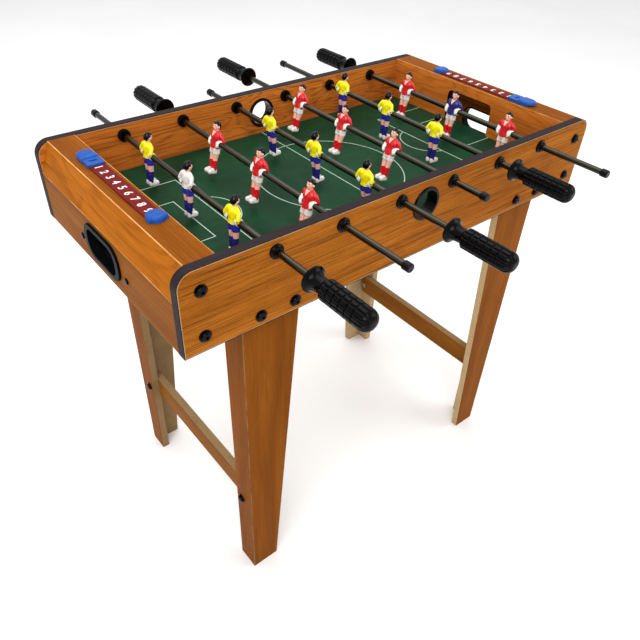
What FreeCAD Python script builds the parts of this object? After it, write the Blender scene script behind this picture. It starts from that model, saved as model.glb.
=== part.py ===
import FreeCAD, Part
import math
import os

from FreeCAD import Vector

# A small free-standing football table: a laminated cabinet on four L-section legs, six sliding and
# spinning rods with three players each, and a slide scorer on each end board.
# Frame: millimetres, +X along the pitch, +Y across it to the far side, +Z up.
# The origin is on the floor under the middle of the cabinet.

os.makedirs("parts", exist_ok=True)

# Cabinet
LENGTH = 690.0
WIDTH = 366.0
LEG_DROP = 510.0
PANEL_HEIGHT = 106.0
PANEL = 12.0
PANEL_CORNER = 20.0
BAND = 1.0
END_BOARD = 9.0
FIELD_RISE = 40.0
FIELD_BOARD = 6.0

# Rods and what is on them
ROD_COUNT = 6
ROD_PITCH = 91.2
ROD_RISE = 90.0
ROD_R = 4.0
TUBE_WALL = 1.0
RUNNING = 0.05
PLAYER_PITCH = 101.0
FLANGE_AT = 241.5
HANDLE_LENGTH = 88.0
HANDLE_SOCKET = 50.0
CAP_AT = 259.0
CAP_LENGTH = 10.0
CAP_SOCKET = 7.5
# How far each rod is pushed from its middle at rest, rod 1 at the left end.
ROD_SHIFTS = (-2.0, -20.0, -20.0, 30.0, 33.0, -21.0)
# Resting turn of each rod's players about +Y, in degrees; a positive turn moves the heads towards +X.
ROD_TURNS = (5.0, 11.0, -4.0, 13.0, 3.0, 7.0)

# Bushings
BUSH_R = 6.0
BUSH_FLANGE_R = 8.75
BUSH_FLANGE = 3.0
BUSH_NOSE = 3.0
BUSH_NUT = 3.5

# Ball entries in the side panels
ENTRY_RISE = 72.5
ENTRY_HOLE_R = 18.0
ENTRY_SLEEVE_R = 19.6
ENTRY_FLANGE_R = 22.3
ENTRY_FLANGE = 2.5

# Goals and ball return
GOAL_HALF = 45.0
GOAL_HEIGHT = 50.0
GOAL_CORNER = 8.0
RETURN_HALF = 37.0
RETURN_LOW = 18.0
RETURN_HIGH = 55.0
RETURN_CORNER = 15.0
RETURN_WALL = 2.5
RETURN_LIP = 6.0
RETURN_FLANGE = 3.0
TRAY_HALF = 64.0
TRAY_LUG = 9.0

# Legs and stretchers
LEG_X = 267.0
LEG_BOARD = 12.0
FACE_FOOT = 43.5
FACE_TOP = 83.0
SIDE_FOOT = 36.0
SIDE_TOP = 41.4
STRETCHER_LOW = 138.0
STRETCHER_HEIGHT = 39.0
STRETCHER_HALF = 152.0

# Fasteners
BOLT_R = 2.5
HEAD_R = 5.8
HEAD_HEIGHT = 3.6
WASHER_R = 7.5
WASHER = 1.2
HOLE_EASE = 0.1

# Slide scorer
SCORE_X = 308.0
STRIP_WIDTH = 19.0
STRIP_HEIGHT = 2.0
STRIP_HALF = 84.0
MARK_WIDTH = 22.5
MARK_HEIGHT = 6.5
MARK_ROUND = 3.2
STOP_LENGTH = 19.0
TONGUE_WIDTH = 21.5
TONGUE_HEIGHT = 4.5
SLIDE_GAP = 0.3

# Levels and planes worked out from the sizes above
BASE = LEG_DROP
TOP = BASE + PANEL_HEIGHT
FIELD = BASE + FIELD_RISE
ROD_Z = BASE + ROD_RISE
OUT_Y = WIDTH / 2
IN_Y = OUT_Y - PANEL
END_X = LENGTH / 2 - 0.5
WALL_X = 293.0
FIELD_X = WALL_X + END_BOARD
LEG_TOP = FIELD - FIELD_BOARD - 0.3
ROD_XS = [(i - (ROD_COUNT - 1) / 2) * ROD_PITCH for i in range(ROD_COUNT)]

# Bolt places: legs through the side panels, end blocks through the side panels, stretcher ends
LEG_BOLT_XS = (202.0, 249.0)
LEG_BOLT_Z = BASE + 14.0
END_BOLT_X = 319.0
END_BOLT_ZS = (BASE + 21.0, BASE + 79.0)
STRETCHER_BOLT_Y = 145.0
STRETCHER_BOLT_Z = STRETCHER_LOW + STRETCHER_HEIGHT / 2
TRAY_SCREW_Y = TRAY_HALF - TRAY_LUG / 2
TRAY_SCREW_Z = BASE + 28.5


def save(name, shape):
    """Write one sub-part."""
    shape.exportStep("parts/" + name + ".step")
    print(name, len(shape.Solids), round(shape.Volume))


def box(x0, x1, y0, y1, z0, z1):
    """A block between two corners given in any order."""
    low = Vector(min(x0, x1), min(y0, y1), min(z0, z1))
    return Part.makeBox(abs(x1 - x0), abs(y1 - y0), abs(z1 - z0), low)


def rod_y(x, y0, y1, z, r):
    """A cylinder along Y."""
    return Part.makeCylinder(r, abs(y1 - y0), Vector(x, min(y0, y1), z), Vector(0, 1, 0))


def rod_x(x0, x1, y, z, r):
    """A cylinder along X."""
    return Part.makeCylinder(r, abs(x1 - x0), Vector(min(x0, x1), y, z), Vector(1, 0, 0))


def prism_y(points, y0, y1):
    """Extrude a polygon of (x, z) points from y0 to y1."""
    wire = Part.makePolygon([Vector(x, y0, z) for x, z in points + [points[0]]])
    return Part.Face(wire).extrude(Vector(0, y1 - y0, 0))


def prism_x(points, x0, x1):
    """Extrude a polygon of (y, z) points from x0 to x1."""
    wire = Part.makePolygon([Vector(x0, y, z) for y, z in points + [points[0]]])
    return Part.Face(wire).extrude(Vector(x1 - x0, 0, 0))


def round_block(x0, x1, half, z0, z1, r):
    """A block across the pitch with its four long corners rounded, running along X."""
    block = box(x0, x1, -half, half, z0, z1)
    edges = [e for e in block.Edges if abs(e.tangentAt(e.FirstParameter).x) > 0.9]
    return block.makeFillet(r, edges)


def mirror_x(shape):
    """The same shape at the other end of the table."""
    return shape.mirror(Vector(0, 0, 0), Vector(1, 0, 0))


def mirror_y(shape):
    """The same shape on the other side of the table."""
    return shape.mirror(Vector(0, 0, 0), Vector(0, 1, 0))


def turned(profile, y_from, step, x=0.0, z=0.0):
    """Revolve a closed (along, radius) outline about a rod's axis; along grows by step from y_from."""
    points = [Vector(x + r, y_from + step * a, z) for a, r in profile]
    wire = Part.makePolygon(points + [points[0]])
    return Part.Face(wire).revolve(Vector(x, 0, z), Vector(0, 1, 0), 360)


def arc_points(a0, r0, radius, start, end, count):
    """Points of a circle arc about (a0, r0), angles in degrees from the along direction."""
    angles = [math.radians(start + (end - start) * i / count) for i in range(count + 1)]
    return [(a0 + radius * math.cos(t), r0 + radius * math.sin(t)) for t in angles]


def panel_outline(inset, y):
    """Side panel outline with round top corners, drawn inset by a margin, as a face at y."""
    half = LENGTH / 2 - inset
    low = BASE + inset
    high = TOP - inset
    r = PANEL_CORNER - inset
    mid = r * (1 - math.sqrt(0.5))
    right = Part.Arc(
        Vector(half, y, high - r), Vector(half - mid, y, high - mid), Vector(half - r, y, high)
    )
    left = Part.Arc(
        Vector(r - half, y, high), Vector(mid - half, y, high - mid), Vector(-half, y, high - r)
    )
    edges = [
        Part.LineSegment(Vector(-half, y, low), Vector(half, y, low)).toShape(),
        Part.LineSegment(Vector(half, y, low), Vector(half, y, high - r)).toShape(),
        right.toShape(),
        Part.LineSegment(Vector(half - r, y, high), Vector(r - half, y, high)).toShape(),
        left.toShape(),
        Part.LineSegment(Vector(-half, y, high - r), Vector(-half, y, low)).toShape(),
    ]
    return Part.Face(Part.Wire(edges))


def side_panel(y0, y1):
    """One long side of the cabinet, bored for rods, ball entry and bolts."""
    panel = panel_outline(BAND, y0).extrude(Vector(0, y1 - y0, 0))
    bores = [rod_y(x, y0, y1, ROD_Z, BUSH_R + HOLE_EASE) for x in ROD_XS]
    bores.append(rod_y(0, y0, y1, BASE + ENTRY_RISE, ENTRY_SLEEVE_R + HOLE_EASE))
    for x, z in panel_bolt_places():
        bores.append(rod_y(x, y0, y1, z, BOLT_R + HOLE_EASE))
    return panel.cut(Part.makeCompound(bores))


def edge_band(y0, y1):
    """The dark band glued round a side panel's edge."""
    outer = panel_outline(0, y0).extrude(Vector(0, y1 - y0, 0))
    inner = panel_outline(BAND, y0).extrude(Vector(0, y1 - y0, 0))
    return outer.cut(inner)


def panel_bolt_places():
    """(x, z) of every bolt through one side panel."""
    places = []
    for side in (-1, 1):
        places += [(side * x, LEG_BOLT_Z) for x in LEG_BOLT_XS]
        places += [(side * END_BOLT_X, z) for z in END_BOLT_ZS]
    return places


def fold_line():
    """Outer line of the folded end board, from the pitch over the top and down the end."""
    return [
        (WALL_X, FIELD),
        (WALL_X, TOP),
        (329.0, TOP),
        (END_X, BASE + 67.0),
        (END_X, BASE),
    ]


def offset_line(points, distance):
    """The same line moved to its right by a distance, mitred at its corners."""
    normals = []
    for (x0, z0), (x1, z1) in zip(points, points[1:]):
        run = math.hypot(x1 - x0, z1 - z0)
        normals.append(((z1 - z0) / run, -(x1 - x0) / run))
    first = [normals[0]] + normals
    second = normals + [normals[-1]]
    moved = []
    for (x, z), (ax, az), (bx, bz) in zip(points, first, second):
        share = distance / (1 + ax * bx + az * bz)
        moved.append((x + (ax + bx) * share, z + (az + bz) * share))
    return moved


def fold_board(index):
    """One board of the right-hand folded end, with mitred long edges."""
    outer = fold_line()
    inner = offset_line(outer, END_BOARD)
    corners = [outer[index], outer[index + 1], inner[index + 1], inner[index]]
    return prism_y(corners, -IN_Y, IN_Y)


def inner_wall():
    """Right-hand end wall of the pitch with its goal mouth."""
    mouth = box(WALL_X - 1, FIELD_X + 1, -GOAL_HALF, GOAL_HALF, FIELD - 20, FIELD + GOAL_HEIGHT)
    edges = [
        e
        for e in mouth.Edges
        if abs(e.tangentAt(e.FirstParameter).x) > 0.9 and e.CenterOfMass.z > FIELD
    ]
    return fold_board(0).cut(mouth.makeFillet(GOAL_CORNER, edges))


def end_panel():
    """Right-hand upright end panel with the hole for the ball return."""
    hole = round_block(
        END_X - END_BOARD - 1,
        END_X + 1,
        RETURN_HALF + RETURN_WALL + HOLE_EASE,
        BASE + RETURN_LOW - RETURN_WALL - HOLE_EASE,
        BASE + RETURN_HIGH + RETURN_WALL + HOLE_EASE,
        RETURN_CORNER + RETURN_WALL,
    )
    panel = fold_board(3).cut(hole)
    for side in (-1, 1):
        screw = rod_x(END_X - 20, END_X + 1, side * TRAY_SCREW_Y, TRAY_SCREW_Z, 1.6)
        panel = panel.cut(screw)
    return panel


def return_frame():
    """Black frame that lines the ball return hole at the right-hand end."""
    low = BASE + RETURN_LOW
    high = BASE + RETURN_HIGH
    flange = round_block(
        END_X,
        END_X + RETURN_FLANGE,
        RETURN_HALF + RETURN_WALL + RETURN_LIP,
        low - RETURN_LIP,
        high + RETURN_LIP,
        RETURN_CORNER + RETURN_LIP,
    )
    front = [e for e in flange.Edges if abs(e.CenterOfMass.x - END_X - RETURN_FLANGE) < 0.01]
    flange = flange.makeFillet(1.2, front)
    sleeve = round_block(
        END_X - END_BOARD,
        END_X + 1,
        RETURN_HALF + RETURN_WALL,
        low - RETURN_WALL,
        high + RETURN_WALL,
        RETURN_CORNER + RETURN_WALL,
    )
    hole = round_block(
        END_X - END_BOARD - 1, END_X + RETURN_FLANGE + 1, RETURN_HALF, low, high, RETURN_CORNER
    )
    return flange.fuse(sleeve).cut(hole).removeSplitter()


def ball_tray():
    """Black tray behind the right-hand end panel that rolls a goal out to the return hole."""
    back = FIELD_X + 0.3
    front = END_X - END_BOARD - 0.2
    lip = BASE + RETURN_LOW + 0.5
    floor = prism_y(
        [(back, lip + 1), (front, lip - 3), (front, lip), (back, lip + 4)], -TRAY_HALF, TRAY_HALF
    )
    wall = box(back, back + 2, -TRAY_HALF, TRAY_HALF, lip + 1, FIELD - 1)
    tray = floor.fuse(wall)
    for side in (-1, 1):
        lug = box(
            back, front, side * (TRAY_HALF - TRAY_LUG), side * TRAY_HALF, lip + 1, FIELD - 1
        )
        tray = tray.fuse(lug)
    tray = tray.removeSplitter()
    for side in (-1, 1):
        screw = rod_x(front - 16, front + 1, side * TRAY_SCREW_Y, TRAY_SCREW_Z, 1.6)
        tray = tray.cut(screw)
    return tray


def tray_screw(side):
    """Small round-head screw that holds the tray to the right-hand end panel."""
    y = side * TRAY_SCREW_Y
    head = rod_x(END_X, END_X + 2.4, y, TRAY_SCREW_Z, 4.0)
    rim = [e for e in head.Edges if abs(e.CenterOfMass.x - END_X - 2.4) < 0.01]
    head = head.makeFillet(1.4, rim[:1])
    slots = [
        box(END_X + 1.4, END_X + 3, y - 2.2, y + 2.2, TRAY_SCREW_Z - 0.4, TRAY_SCREW_Z + 0.4),
        box(END_X + 1.4, END_X + 3, y - 0.4, y + 0.4, TRAY_SCREW_Z - 2.2, TRAY_SCREW_Z + 2.2),
    ]
    shank = rod_x(END_X - END_BOARD - 14, END_X, y, TRAY_SCREW_Z, 1.5)
    return head.fuse(shank).cut(Part.makeCompound(slots)).removeSplitter()


def playfield():
    """The pitch board, which runs under both inner walls."""
    return box(-FIELD_X, FIELD_X, -IN_Y, IN_Y, FIELD - FIELD_BOARD, FIELD)


def field_cleats():
    """Four battens under the pitch board: one along each side and one across each end."""
    high = FIELD - FIELD_BOARD
    battens = []
    for side in (-1, 1):
        battens.append(box(-180, 180, side * (IN_Y - 12), side * IN_Y, high - 12, high))
        battens.append(box(side * 289, side * 300, -150, 150, high - 12, high))
    return Part.makeCompound(battens)


def corner_blocks():
    """Four upright blocks that tie the folded ends to the side panels."""
    blocks = []
    for end in (-1, 1):
        for side in (-1, 1):
            block = box(end * 303, end * 325, side * (IN_Y - 20), side * IN_Y, BASE + 2, BASE + 89)
            for z in END_BOLT_ZS:
                hole = rod_y(
                    end * END_BOLT_X, side * (IN_Y - 15.2), side * IN_Y, z, BOLT_R + HOLE_EASE
                )
                block = block.cut(hole)
            blocks.append(block)
    return Part.makeCompound(blocks)


def ball_entry():
    """Near ball entry: a flange on the panel's outside and a sleeve through it."""
    z = BASE + ENTRY_RISE
    flange = rod_y(0, -OUT_Y - ENTRY_FLANGE, -OUT_Y, z, ENTRY_FLANGE_R)
    rim = [e for e in flange.Edges if abs(e.CenterOfMass.y + OUT_Y + ENTRY_FLANGE) < 0.01]
    flange = flange.makeFillet(1.5, rim[:1])
    sleeve = rod_y(0, -OUT_Y, -IN_Y, z, ENTRY_SLEEVE_R)
    hole = rod_y(0, -OUT_Y - 10, -IN_Y + 1, z, ENTRY_HOLE_R)
    return flange.fuse(sleeve).cut(hole).removeSplitter()


def entry_collar():
    """Near ring on the inside of the panel that the ball entry clips into."""
    z = BASE + ENTRY_RISE
    collar = rod_y(0, -IN_Y, -IN_Y + 2.2, z, ENTRY_FLANGE_R - 0.25)
    return collar.cut(rod_y(0, -IN_Y, -IN_Y + 2.2, z, ENTRY_HOLE_R))


def bushing(x):
    """Near plastic bushing: nose and flange outside, sleeve through the panel to its nut."""
    nose_end = OUT_Y + BUSH_FLANGE + BUSH_NOSE
    profile = [
        (0, ROD_R + RUNNING),
        (0, BUSH_R),
        (BUSH_NOSE - 0.6, BUSH_R + 0.4),
        (BUSH_NOSE, BUSH_R + 1.0),
        (BUSH_NOSE, BUSH_FLANGE_R - 0.8),
        (BUSH_NOSE + 0.8, BUSH_FLANGE_R),
        (BUSH_NOSE + BUSH_FLANGE, BUSH_FLANGE_R),
        (BUSH_NOSE + BUSH_FLANGE, BUSH_R),
        (nose_end - IN_Y + BUSH_NUT, BUSH_R),
        (nose_end - IN_Y + BUSH_NUT, ROD_R + RUNNING),
    ]
    return turned(profile, -nose_end, 1, x, ROD_Z)


def bushing_nut(x):
    """Near ring nut on the inside of the panel."""
    ring = rod_y(x, -IN_Y, -IN_Y + BUSH_NUT, ROD_Z, BUSH_FLANGE_R)
    return ring.cut(rod_y(x, -IN_Y, -IN_Y + BUSH_NUT, ROD_Z, BUSH_R))


def leg():
    """Near right-hand leg: a tapered face board and a tapered side board glued into an L."""
    face = prism_y(
        [(LEG_X - FACE_FOOT, 0), (LEG_X, 0), (LEG_X, LEG_TOP), (LEG_X - FACE_TOP, LEG_TOP)],
        -IN_Y,
        -IN_Y + LEG_BOARD,
    )
    back = -IN_Y + LEG_BOARD
    side = prism_x(
        [(back, 0), (-IN_Y + SIDE_FOOT, 0), (-IN_Y + SIDE_TOP, LEG_TOP), (back, LEG_TOP)],
        LEG_X - LEG_BOARD,
        LEG_X,
    )
    for x in LEG_BOLT_XS:
        face = face.cut(rod_y(x, -IN_Y, back, LEG_BOLT_Z, BOLT_R + HOLE_EASE))
    bolt = rod_x(
        LEG_X - LEG_BOARD, LEG_X, -STRETCHER_BOLT_Y, STRETCHER_BOLT_Z, BOLT_R + HOLE_EASE
    )
    return Part.makeCompound([face, side.cut(bolt)])


def stretcher():
    """Right-hand rail between the two legs of one end."""
    outer = LEG_X - LEG_BOARD
    inner = outer - LEG_BOARD
    high = STRETCHER_LOW + STRETCHER_HEIGHT
    rail = box(inner, outer, -STRETCHER_HALF, STRETCHER_HALF, STRETCHER_LOW, high)
    for side in (-1, 1):
        bolt = rod_x(inner, outer, side * STRETCHER_BOLT_Y, STRETCHER_BOLT_Z, BOLT_R + HOLE_EASE)
        rail = rail.cut(bolt)
    return rail


def bolt_along(start, direction, length):
    """A round-head hex-socket bolt: the head's seat at start, the shank running along direction."""
    back = direction * -1.0
    head = Part.makeCylinder(HEAD_R, HEAD_HEIGHT, start, back)
    crown_at = start + back * HEAD_HEIGHT
    crown = [e for e in head.Edges if (e.CenterOfMass - crown_at).Length < 0.01]
    head = head.makeFillet(2.6, crown[:1])
    shank = Part.makeCylinder(BOLT_R, length, start, direction)
    flat = Part.makePolygon(
        [
            Vector(2.0 * math.cos(math.radians(a)), 2.0 * math.sin(math.radians(a)), 0)
            for a in range(0, 361, 60)
        ]
    )
    socket = Part.Face(flat).extrude(Vector(0, 0, 2.0))
    socket.Placement = FreeCAD.Placement(
        start + back * (HEAD_HEIGHT - 1.9), FreeCAD.Rotation(Vector(0, 0, 1), back)
    )
    return head.fuse(shank).cut(socket).removeSplitter()


def washer_at(start, direction):
    """A flat washer whose outer face is at start, lying against the board behind it."""
    ring = Part.makeCylinder(WASHER_R, WASHER, start, direction)
    return ring.cut(Part.makeCylinder(BOLT_R + HOLE_EASE, WASHER, start, direction))


def panel_bolts():
    """The sixteen bolts through the side panels, with their washers as a second group."""
    bolts = []
    washers = []
    for side in (-1, 1):
        inward = Vector(0, -side, 0)
        for x, z in panel_bolt_places():
            seat = Vector(x, side * (OUT_Y + WASHER), z)
            length = WASHER + PANEL + (LEG_BOARD + 7 if abs(x) < END_BOLT_X else 15)
            bolts.append(bolt_along(seat, inward, length))
            washers.append(washer_at(seat, inward))
    return bolts, washers


def stretcher_bolts():
    """The four bolts through the legs' side boards and the stretchers, with their washers."""
    bolts = []
    washers = []
    for end in (-1, 1):
        inward = Vector(-end, 0, 0)
        for side in (-1, 1):
            seat = Vector(end * (LEG_X + WASHER), side * STRETCHER_BOLT_Y, STRETCHER_BOLT_Z)
            bolts.append(bolt_along(seat, inward, WASHER + 2 * LEG_BOARD + 1))
            washers.append(washer_at(seat, inward))
    return bolts, washers


def leg_nuts():
    """Hexagon nuts inside the legs, one to each leg bolt."""
    nuts = []
    for end in (-1, 1):
        for side in (-1, 1):
            seat = side * (IN_Y - LEG_BOARD)
            for x in LEG_BOLT_XS:
                corners = [
                    (
                        end * x + 4.6 * math.cos(math.radians(a)),
                        LEG_BOLT_Z + 4.6 * math.sin(math.radians(a)),
                    )
                    for a in range(0, 360, 60)
                ]
                nut = prism_y(corners, seat, seat - side * 4)
                hole = rod_y(end * x, seat, seat - side * 4, LEG_BOLT_Z, BOLT_R + HOLE_EASE)
                nuts.append(nut.cut(hole))
    return Part.makeCompound(nuts)


def barrel_nuts():
    """Slotted bright caps on the inner faces of the stretchers, one to each stretcher bolt."""
    nuts = []
    face = LEG_X - 2 * LEG_BOARD
    for end in (-1, 1):
        for side in (-1, 1):
            y = side * STRETCHER_BOLT_Y
            cap = rod_x(end * face, end * (face - 2.4), y, STRETCHER_BOLT_Z, 5.5)
            hole = rod_x(end * face, end * (face - 1.2), y, STRETCHER_BOLT_Z, BOLT_R + HOLE_EASE)
            slot = box(
                end * (face - 1.6),
                end * (face - 3),
                y - 0.7,
                y + 0.7,
                STRETCHER_BOLT_Z - 4,
                STRETCHER_BOLT_Z + 4,
            )
            nuts.append(cap.cut(hole).cut(slot))
    return Part.makeCompound(nuts)


def domed_mark(low, high):
    """A block with one half-round end towards +Y, its top edge rounded, in the strip's own frame."""
    r = MARK_WIDTH / 2
    block = box(-r, r, low, high - r, 0, MARK_HEIGHT)
    nose = Part.makeCylinder(r, MARK_HEIGHT, Vector(0, high - r, 0))
    mark = block.fuse(nose).removeSplitter()
    crown = [e for e in mark.Edges if abs(e.BoundBox.ZMin - MARK_HEIGHT) < 0.01]
    return mark.makeFillet(MARK_ROUND, crown)


def score_strip():
    """The numbered strip of the left-hand scorer, in its own frame with the board at z 0."""
    half = STRIP_WIDTH / 2
    return box(-half, half, -STRIP_HALF, STRIP_HALF, 0, STRIP_HEIGHT)


def score_cap():
    """The fixed domed stop over the strip's last number."""
    half = STRIP_WIDTH / 2 + HOLE_EASE
    low = -STRIP_HALF - 2.5
    pocket = box(-half, half, -STRIP_HALF - HOLE_EASE, 0, -1, STRIP_HEIGHT + HOLE_EASE)
    return domed_mark(low, low + STOP_LENGTH).cut(pocket)


def score_slider():
    """The sliding marker at nought: a domed grip and a tongue with a window over the number."""
    grip = domed_mark(85, 111)
    half = TONGUE_WIDTH / 2
    tongue = box(-half, half, 67, 94, 0, TONGUE_HEIGHT)
    front = [e for e in tongue.Edges if abs(e.BoundBox.YMax - 67) < 0.01]
    tongue = tongue.makeFillet(1.5, [e for e in front if e.BoundBox.XLength < 0.01])
    slider = grip.fuse(tongue).removeSplitter()
    inside = STRIP_WIDTH / 2 + SLIDE_GAP
    channel = box(-inside, inside, 60, 120, -1, STRIP_HEIGHT + SLIDE_GAP)
    under = box(-40, 40, 60, 120, -1, SLIDE_GAP)
    window = box(-3.4, 3.4, 76, 80, 0, 20)
    for side in (-1, 1):
        window = window.fuse(Part.makeCylinder(2.0, 20, Vector(side * 3.4, 78, 0)))
    return slider.cut(channel).cut(under).cut(window).removeSplitter()


def scorer_places(shape):
    """The shape at the left-hand scorer, and turned half round at the right-hand one."""
    left = shape.copy()
    left.translate(Vector(-SCORE_X, 0, TOP))
    right = shape.copy()
    right.rotate(Vector(0, 0, 0), Vector(0, 0, 1), 180)
    right.translate(Vector(SCORE_X, 0, TOP))
    return left, right


def ellipse_at(z, depth, width, shift=0.0):
    """A level ellipse as a wire, wider along Y than along X, pushed forward by shift."""
    centre = Vector(shift, 0, z)
    curve = Part.Ellipse(Vector(shift, width / 2, z), Vector(shift + depth / 2, 0, z), centre)
    return Part.Wire([curve.toShape()])


def capsule(start, end, r):
    """A round-ended rod between two points."""
    line = end - start
    body = Part.makeCylinder(r, line.Length, start, line)
    for point in (start, end):
        body = body.fuse(Part.makeSphere(r, point))
    return body


def player():
    """One player about the rod's axis at the origin, facing +X, sole 43.5 below the axis."""
    torso = Part.makeLoft(
        [
            ellipse_at(-15, 11, 17),
            ellipse_at(-8, 13, 19),
            ellipse_at(3, 13.5, 20),
            ellipse_at(11, 12, 21),
            ellipse_at(15.5, 8, 13),
        ],
        True,
    )
    legs = Part.makeLoft(
        [
            ellipse_at(-36, 8, 11.5, 2),
            ellipse_at(-24, 9, 13, 1.5),
            ellipse_at(-13, 10.5, 16),
        ],
        True,
    )
    shoe = prism_y(
        [(-4, -43.5), (8, -43.5), (11.5, -39.5), (11, -36.5), (6, -33.5), (-4, -32)], -6.5, 6.5
    )
    upright = [e for e in shoe.Edges if abs(e.tangentAt(e.FirstParameter).y) < 0.1]
    shoe = shoe.makeFillet(1.2, upright)
    head_profile = [(0, 12.0), (4.0, 12.0), (4.0, 15.5)]
    for degrees in range(50, 180, 13):
        angle = math.radians(degrees)
        head_profile.append((5.6 * math.sin(angle), 22.2 - 6.8 * math.cos(angle)))
    head_profile.append((0, 29.0))
    wire = Part.makePolygon([Vector(r, 0, z) for r, z in head_profile + [head_profile[0]]])
    head = Part.Face(wire).revolve(Vector(0, 0, 0), Vector(0, 0, 1), 360)
    head.translate(Vector(0.8, 0, 0))
    body = torso.fuse([legs, shoe, head])
    for side in (-1, 1):
        shoulder = Vector(0, side * 8.5, 10.5)
        elbow = Vector(-1.5, side * 11.9, 1.5)
        body = body.fuse(capsule(shoulder, elbow, 3.2))
        body = body.fuse(rod_y(0, side * 4, side * 13.5, 0, 6.2))
    return body.cut(rod_y(0, -20, 20, 0, ROD_R + RUNNING)).removeSplitter()


def grip_profile():
    """Half outline of a handle, from its flange's face to its round end."""
    barrel = 12.2
    start = 22.0
    end = HANDLE_LENGTH - 8.0
    profile = [(HANDLE_SOCKET, 0), (HANDLE_SOCKET, ROD_R + RUNNING), (0, ROD_R + RUNNING)]
    profile += [(0, 14.0), (0.8, 15.0), (2.6, 15.0), (4.0, 13.2), (8.0, 10.0), (12.0, 8.8)]
    profile += [(18.5, 8.6), (start - 1.5, 10.4), (start, barrel)]
    for ring in range(1, 6):
        middle = start + ring * (end - start) / 6
        profile += [(middle - 1.2, barrel), (middle - 0.6, barrel - 0.9)]
        profile += [(middle + 0.6, barrel - 0.9), (middle + 1.2, barrel)]
    profile += arc_points(end, barrel - 8.0, 8.0, 90, 0, 6)
    return profile + [(HANDLE_LENGTH, 0)]


def handle(hand, middle, x):
    """Ribbed plastic handle; hand is -1 for the near side and 1 for the far side."""
    grip = turned(grip_profile(), middle + hand * FLANGE_AT, hand, x, ROD_Z)
    grooves = []
    start = middle + hand * (FLANGE_AT + 26)
    stop = middle + hand * (FLANGE_AT + HANDLE_LENGTH + 1)
    for turn in range(12):
        angle = math.radians(turn * 30)
        grooves.append(
            rod_y(x + 12.9 * math.cos(angle), start, stop, ROD_Z + 12.9 * math.sin(angle), 1.5)
        )
    return grip.cut(Part.makeCompound(grooves))


def end_cap(hand, middle, x):
    """Soft cap on the rod's other end."""
    profile = [(CAP_SOCKET, 0), (CAP_SOCKET, ROD_R + RUNNING), (0, ROD_R + RUNNING), (0, 4.9)]
    profile += [(0.5, 5.3), (CAP_LENGTH - 1.4, 5.3)]
    profile += arc_points(CAP_LENGTH - 1.4, 3.9, 1.4, 80, 0, 4)
    profile += [(CAP_LENGTH, 0)]
    return turned(profile, middle - hand * CAP_AT, -hand, x, ROD_Z)


def tube(hand, middle, x):
    """Hollow steel rod from inside the handle to inside the cap."""
    start = middle + hand * (FLANGE_AT + HANDLE_SOCKET - 0.3)
    stop = middle - hand * (CAP_AT + CAP_SOCKET - 0.3)
    outer = rod_y(x, start, stop, ROD_Z, ROD_R)
    return outer.cut(rod_y(x, start, stop, ROD_Z, ROD_R - TUBE_WALL))


def players(hand, middle, x, turn):
    """Three players on one rod; the near-handle team faces +X and the other team -X."""
    team = []
    for step in (-1, 0, 1):
        figure = FIGURE.copy()
        if hand > 0:
            figure.rotate(Vector(0, 0, 0), Vector(0, 0, 1), 180)
        figure.rotate(Vector(0, 0, 0), Vector(0, 1, 0), turn)
        figure.translate(Vector(x, middle + step * PLAYER_PITCH, ROD_Z))
        team.append(figure)
    return Part.makeCompound(team)


FIGURE = player()

save("near_side_panel", side_panel(-OUT_Y, -IN_Y))
save("far_side_panel", side_panel(IN_Y, OUT_Y))
save("edge_bands", Part.makeCompound([edge_band(-OUT_Y, -IN_Y), edge_band(IN_Y, OUT_Y)]))

END_BOARDS = {
    "inner_wall": inner_wall(),
    "top_board": fold_board(1),
    "slope_board": fold_board(2),
    "end_panel": end_panel(),
}
for board_name, board in END_BOARDS.items():
    save("right_" + board_name, board)
    save("left_" + board_name, mirror_x(board))

save("playfield", playfield())
save("field_cleats", field_cleats())
save("corner_blocks", corner_blocks())
for pair_name, piece in (
    ("return_frames", return_frame()),
    ("ball_trays", ball_tray()),
    ("stretchers", stretcher()),
):
    save(pair_name, Part.makeCompound([mirror_x(piece), piece]))
SCREWS = [tray_screw(-1), tray_screw(1)]
save("tray_screws", Part.makeCompound(SCREWS + [mirror_x(s) for s in SCREWS]))

save("ball_entries", Part.makeCompound([ball_entry(), mirror_y(ball_entry())]))
save("entry_collars", Part.makeCompound([entry_collar(), mirror_y(entry_collar())]))
BUSHINGS = [bushing(x) for x in ROD_XS]
NUTS = [bushing_nut(x) for x in ROD_XS]
save("rod_bushings", Part.makeCompound(BUSHINGS + [mirror_y(b) for b in BUSHINGS]))
save("bushing_nuts", Part.makeCompound(NUTS + [mirror_y(n) for n in NUTS]))

NEAR_RIGHT_LEG = leg()
save("near_right_leg", NEAR_RIGHT_LEG)
save("near_left_leg", mirror_x(NEAR_RIGHT_LEG))
save("far_right_leg", mirror_y(NEAR_RIGHT_LEG))
save("far_left_leg", mirror_y(mirror_x(NEAR_RIGHT_LEG)))

PANEL_BOLTS, PANEL_WASHERS = panel_bolts()
RAIL_BOLTS, RAIL_WASHERS = stretcher_bolts()
save("panel_bolts", Part.makeCompound(PANEL_BOLTS))
save("stretcher_bolts", Part.makeCompound(RAIL_BOLTS))
save("washers", Part.makeCompound(PANEL_WASHERS + RAIL_WASHERS))
save("leg_nuts", leg_nuts())
save("barrel_nuts", barrel_nuts())

save("score_strips", Part.makeCompound(list(scorer_places(score_strip()))))
save("score_caps", Part.makeCompound(list(scorer_places(score_cap()))))
LEFT_SLIDER, RIGHT_SLIDER = scorer_places(score_slider())
save("left_score_slider", LEFT_SLIDER)
save("right_score_slider", RIGHT_SLIDER)

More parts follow.
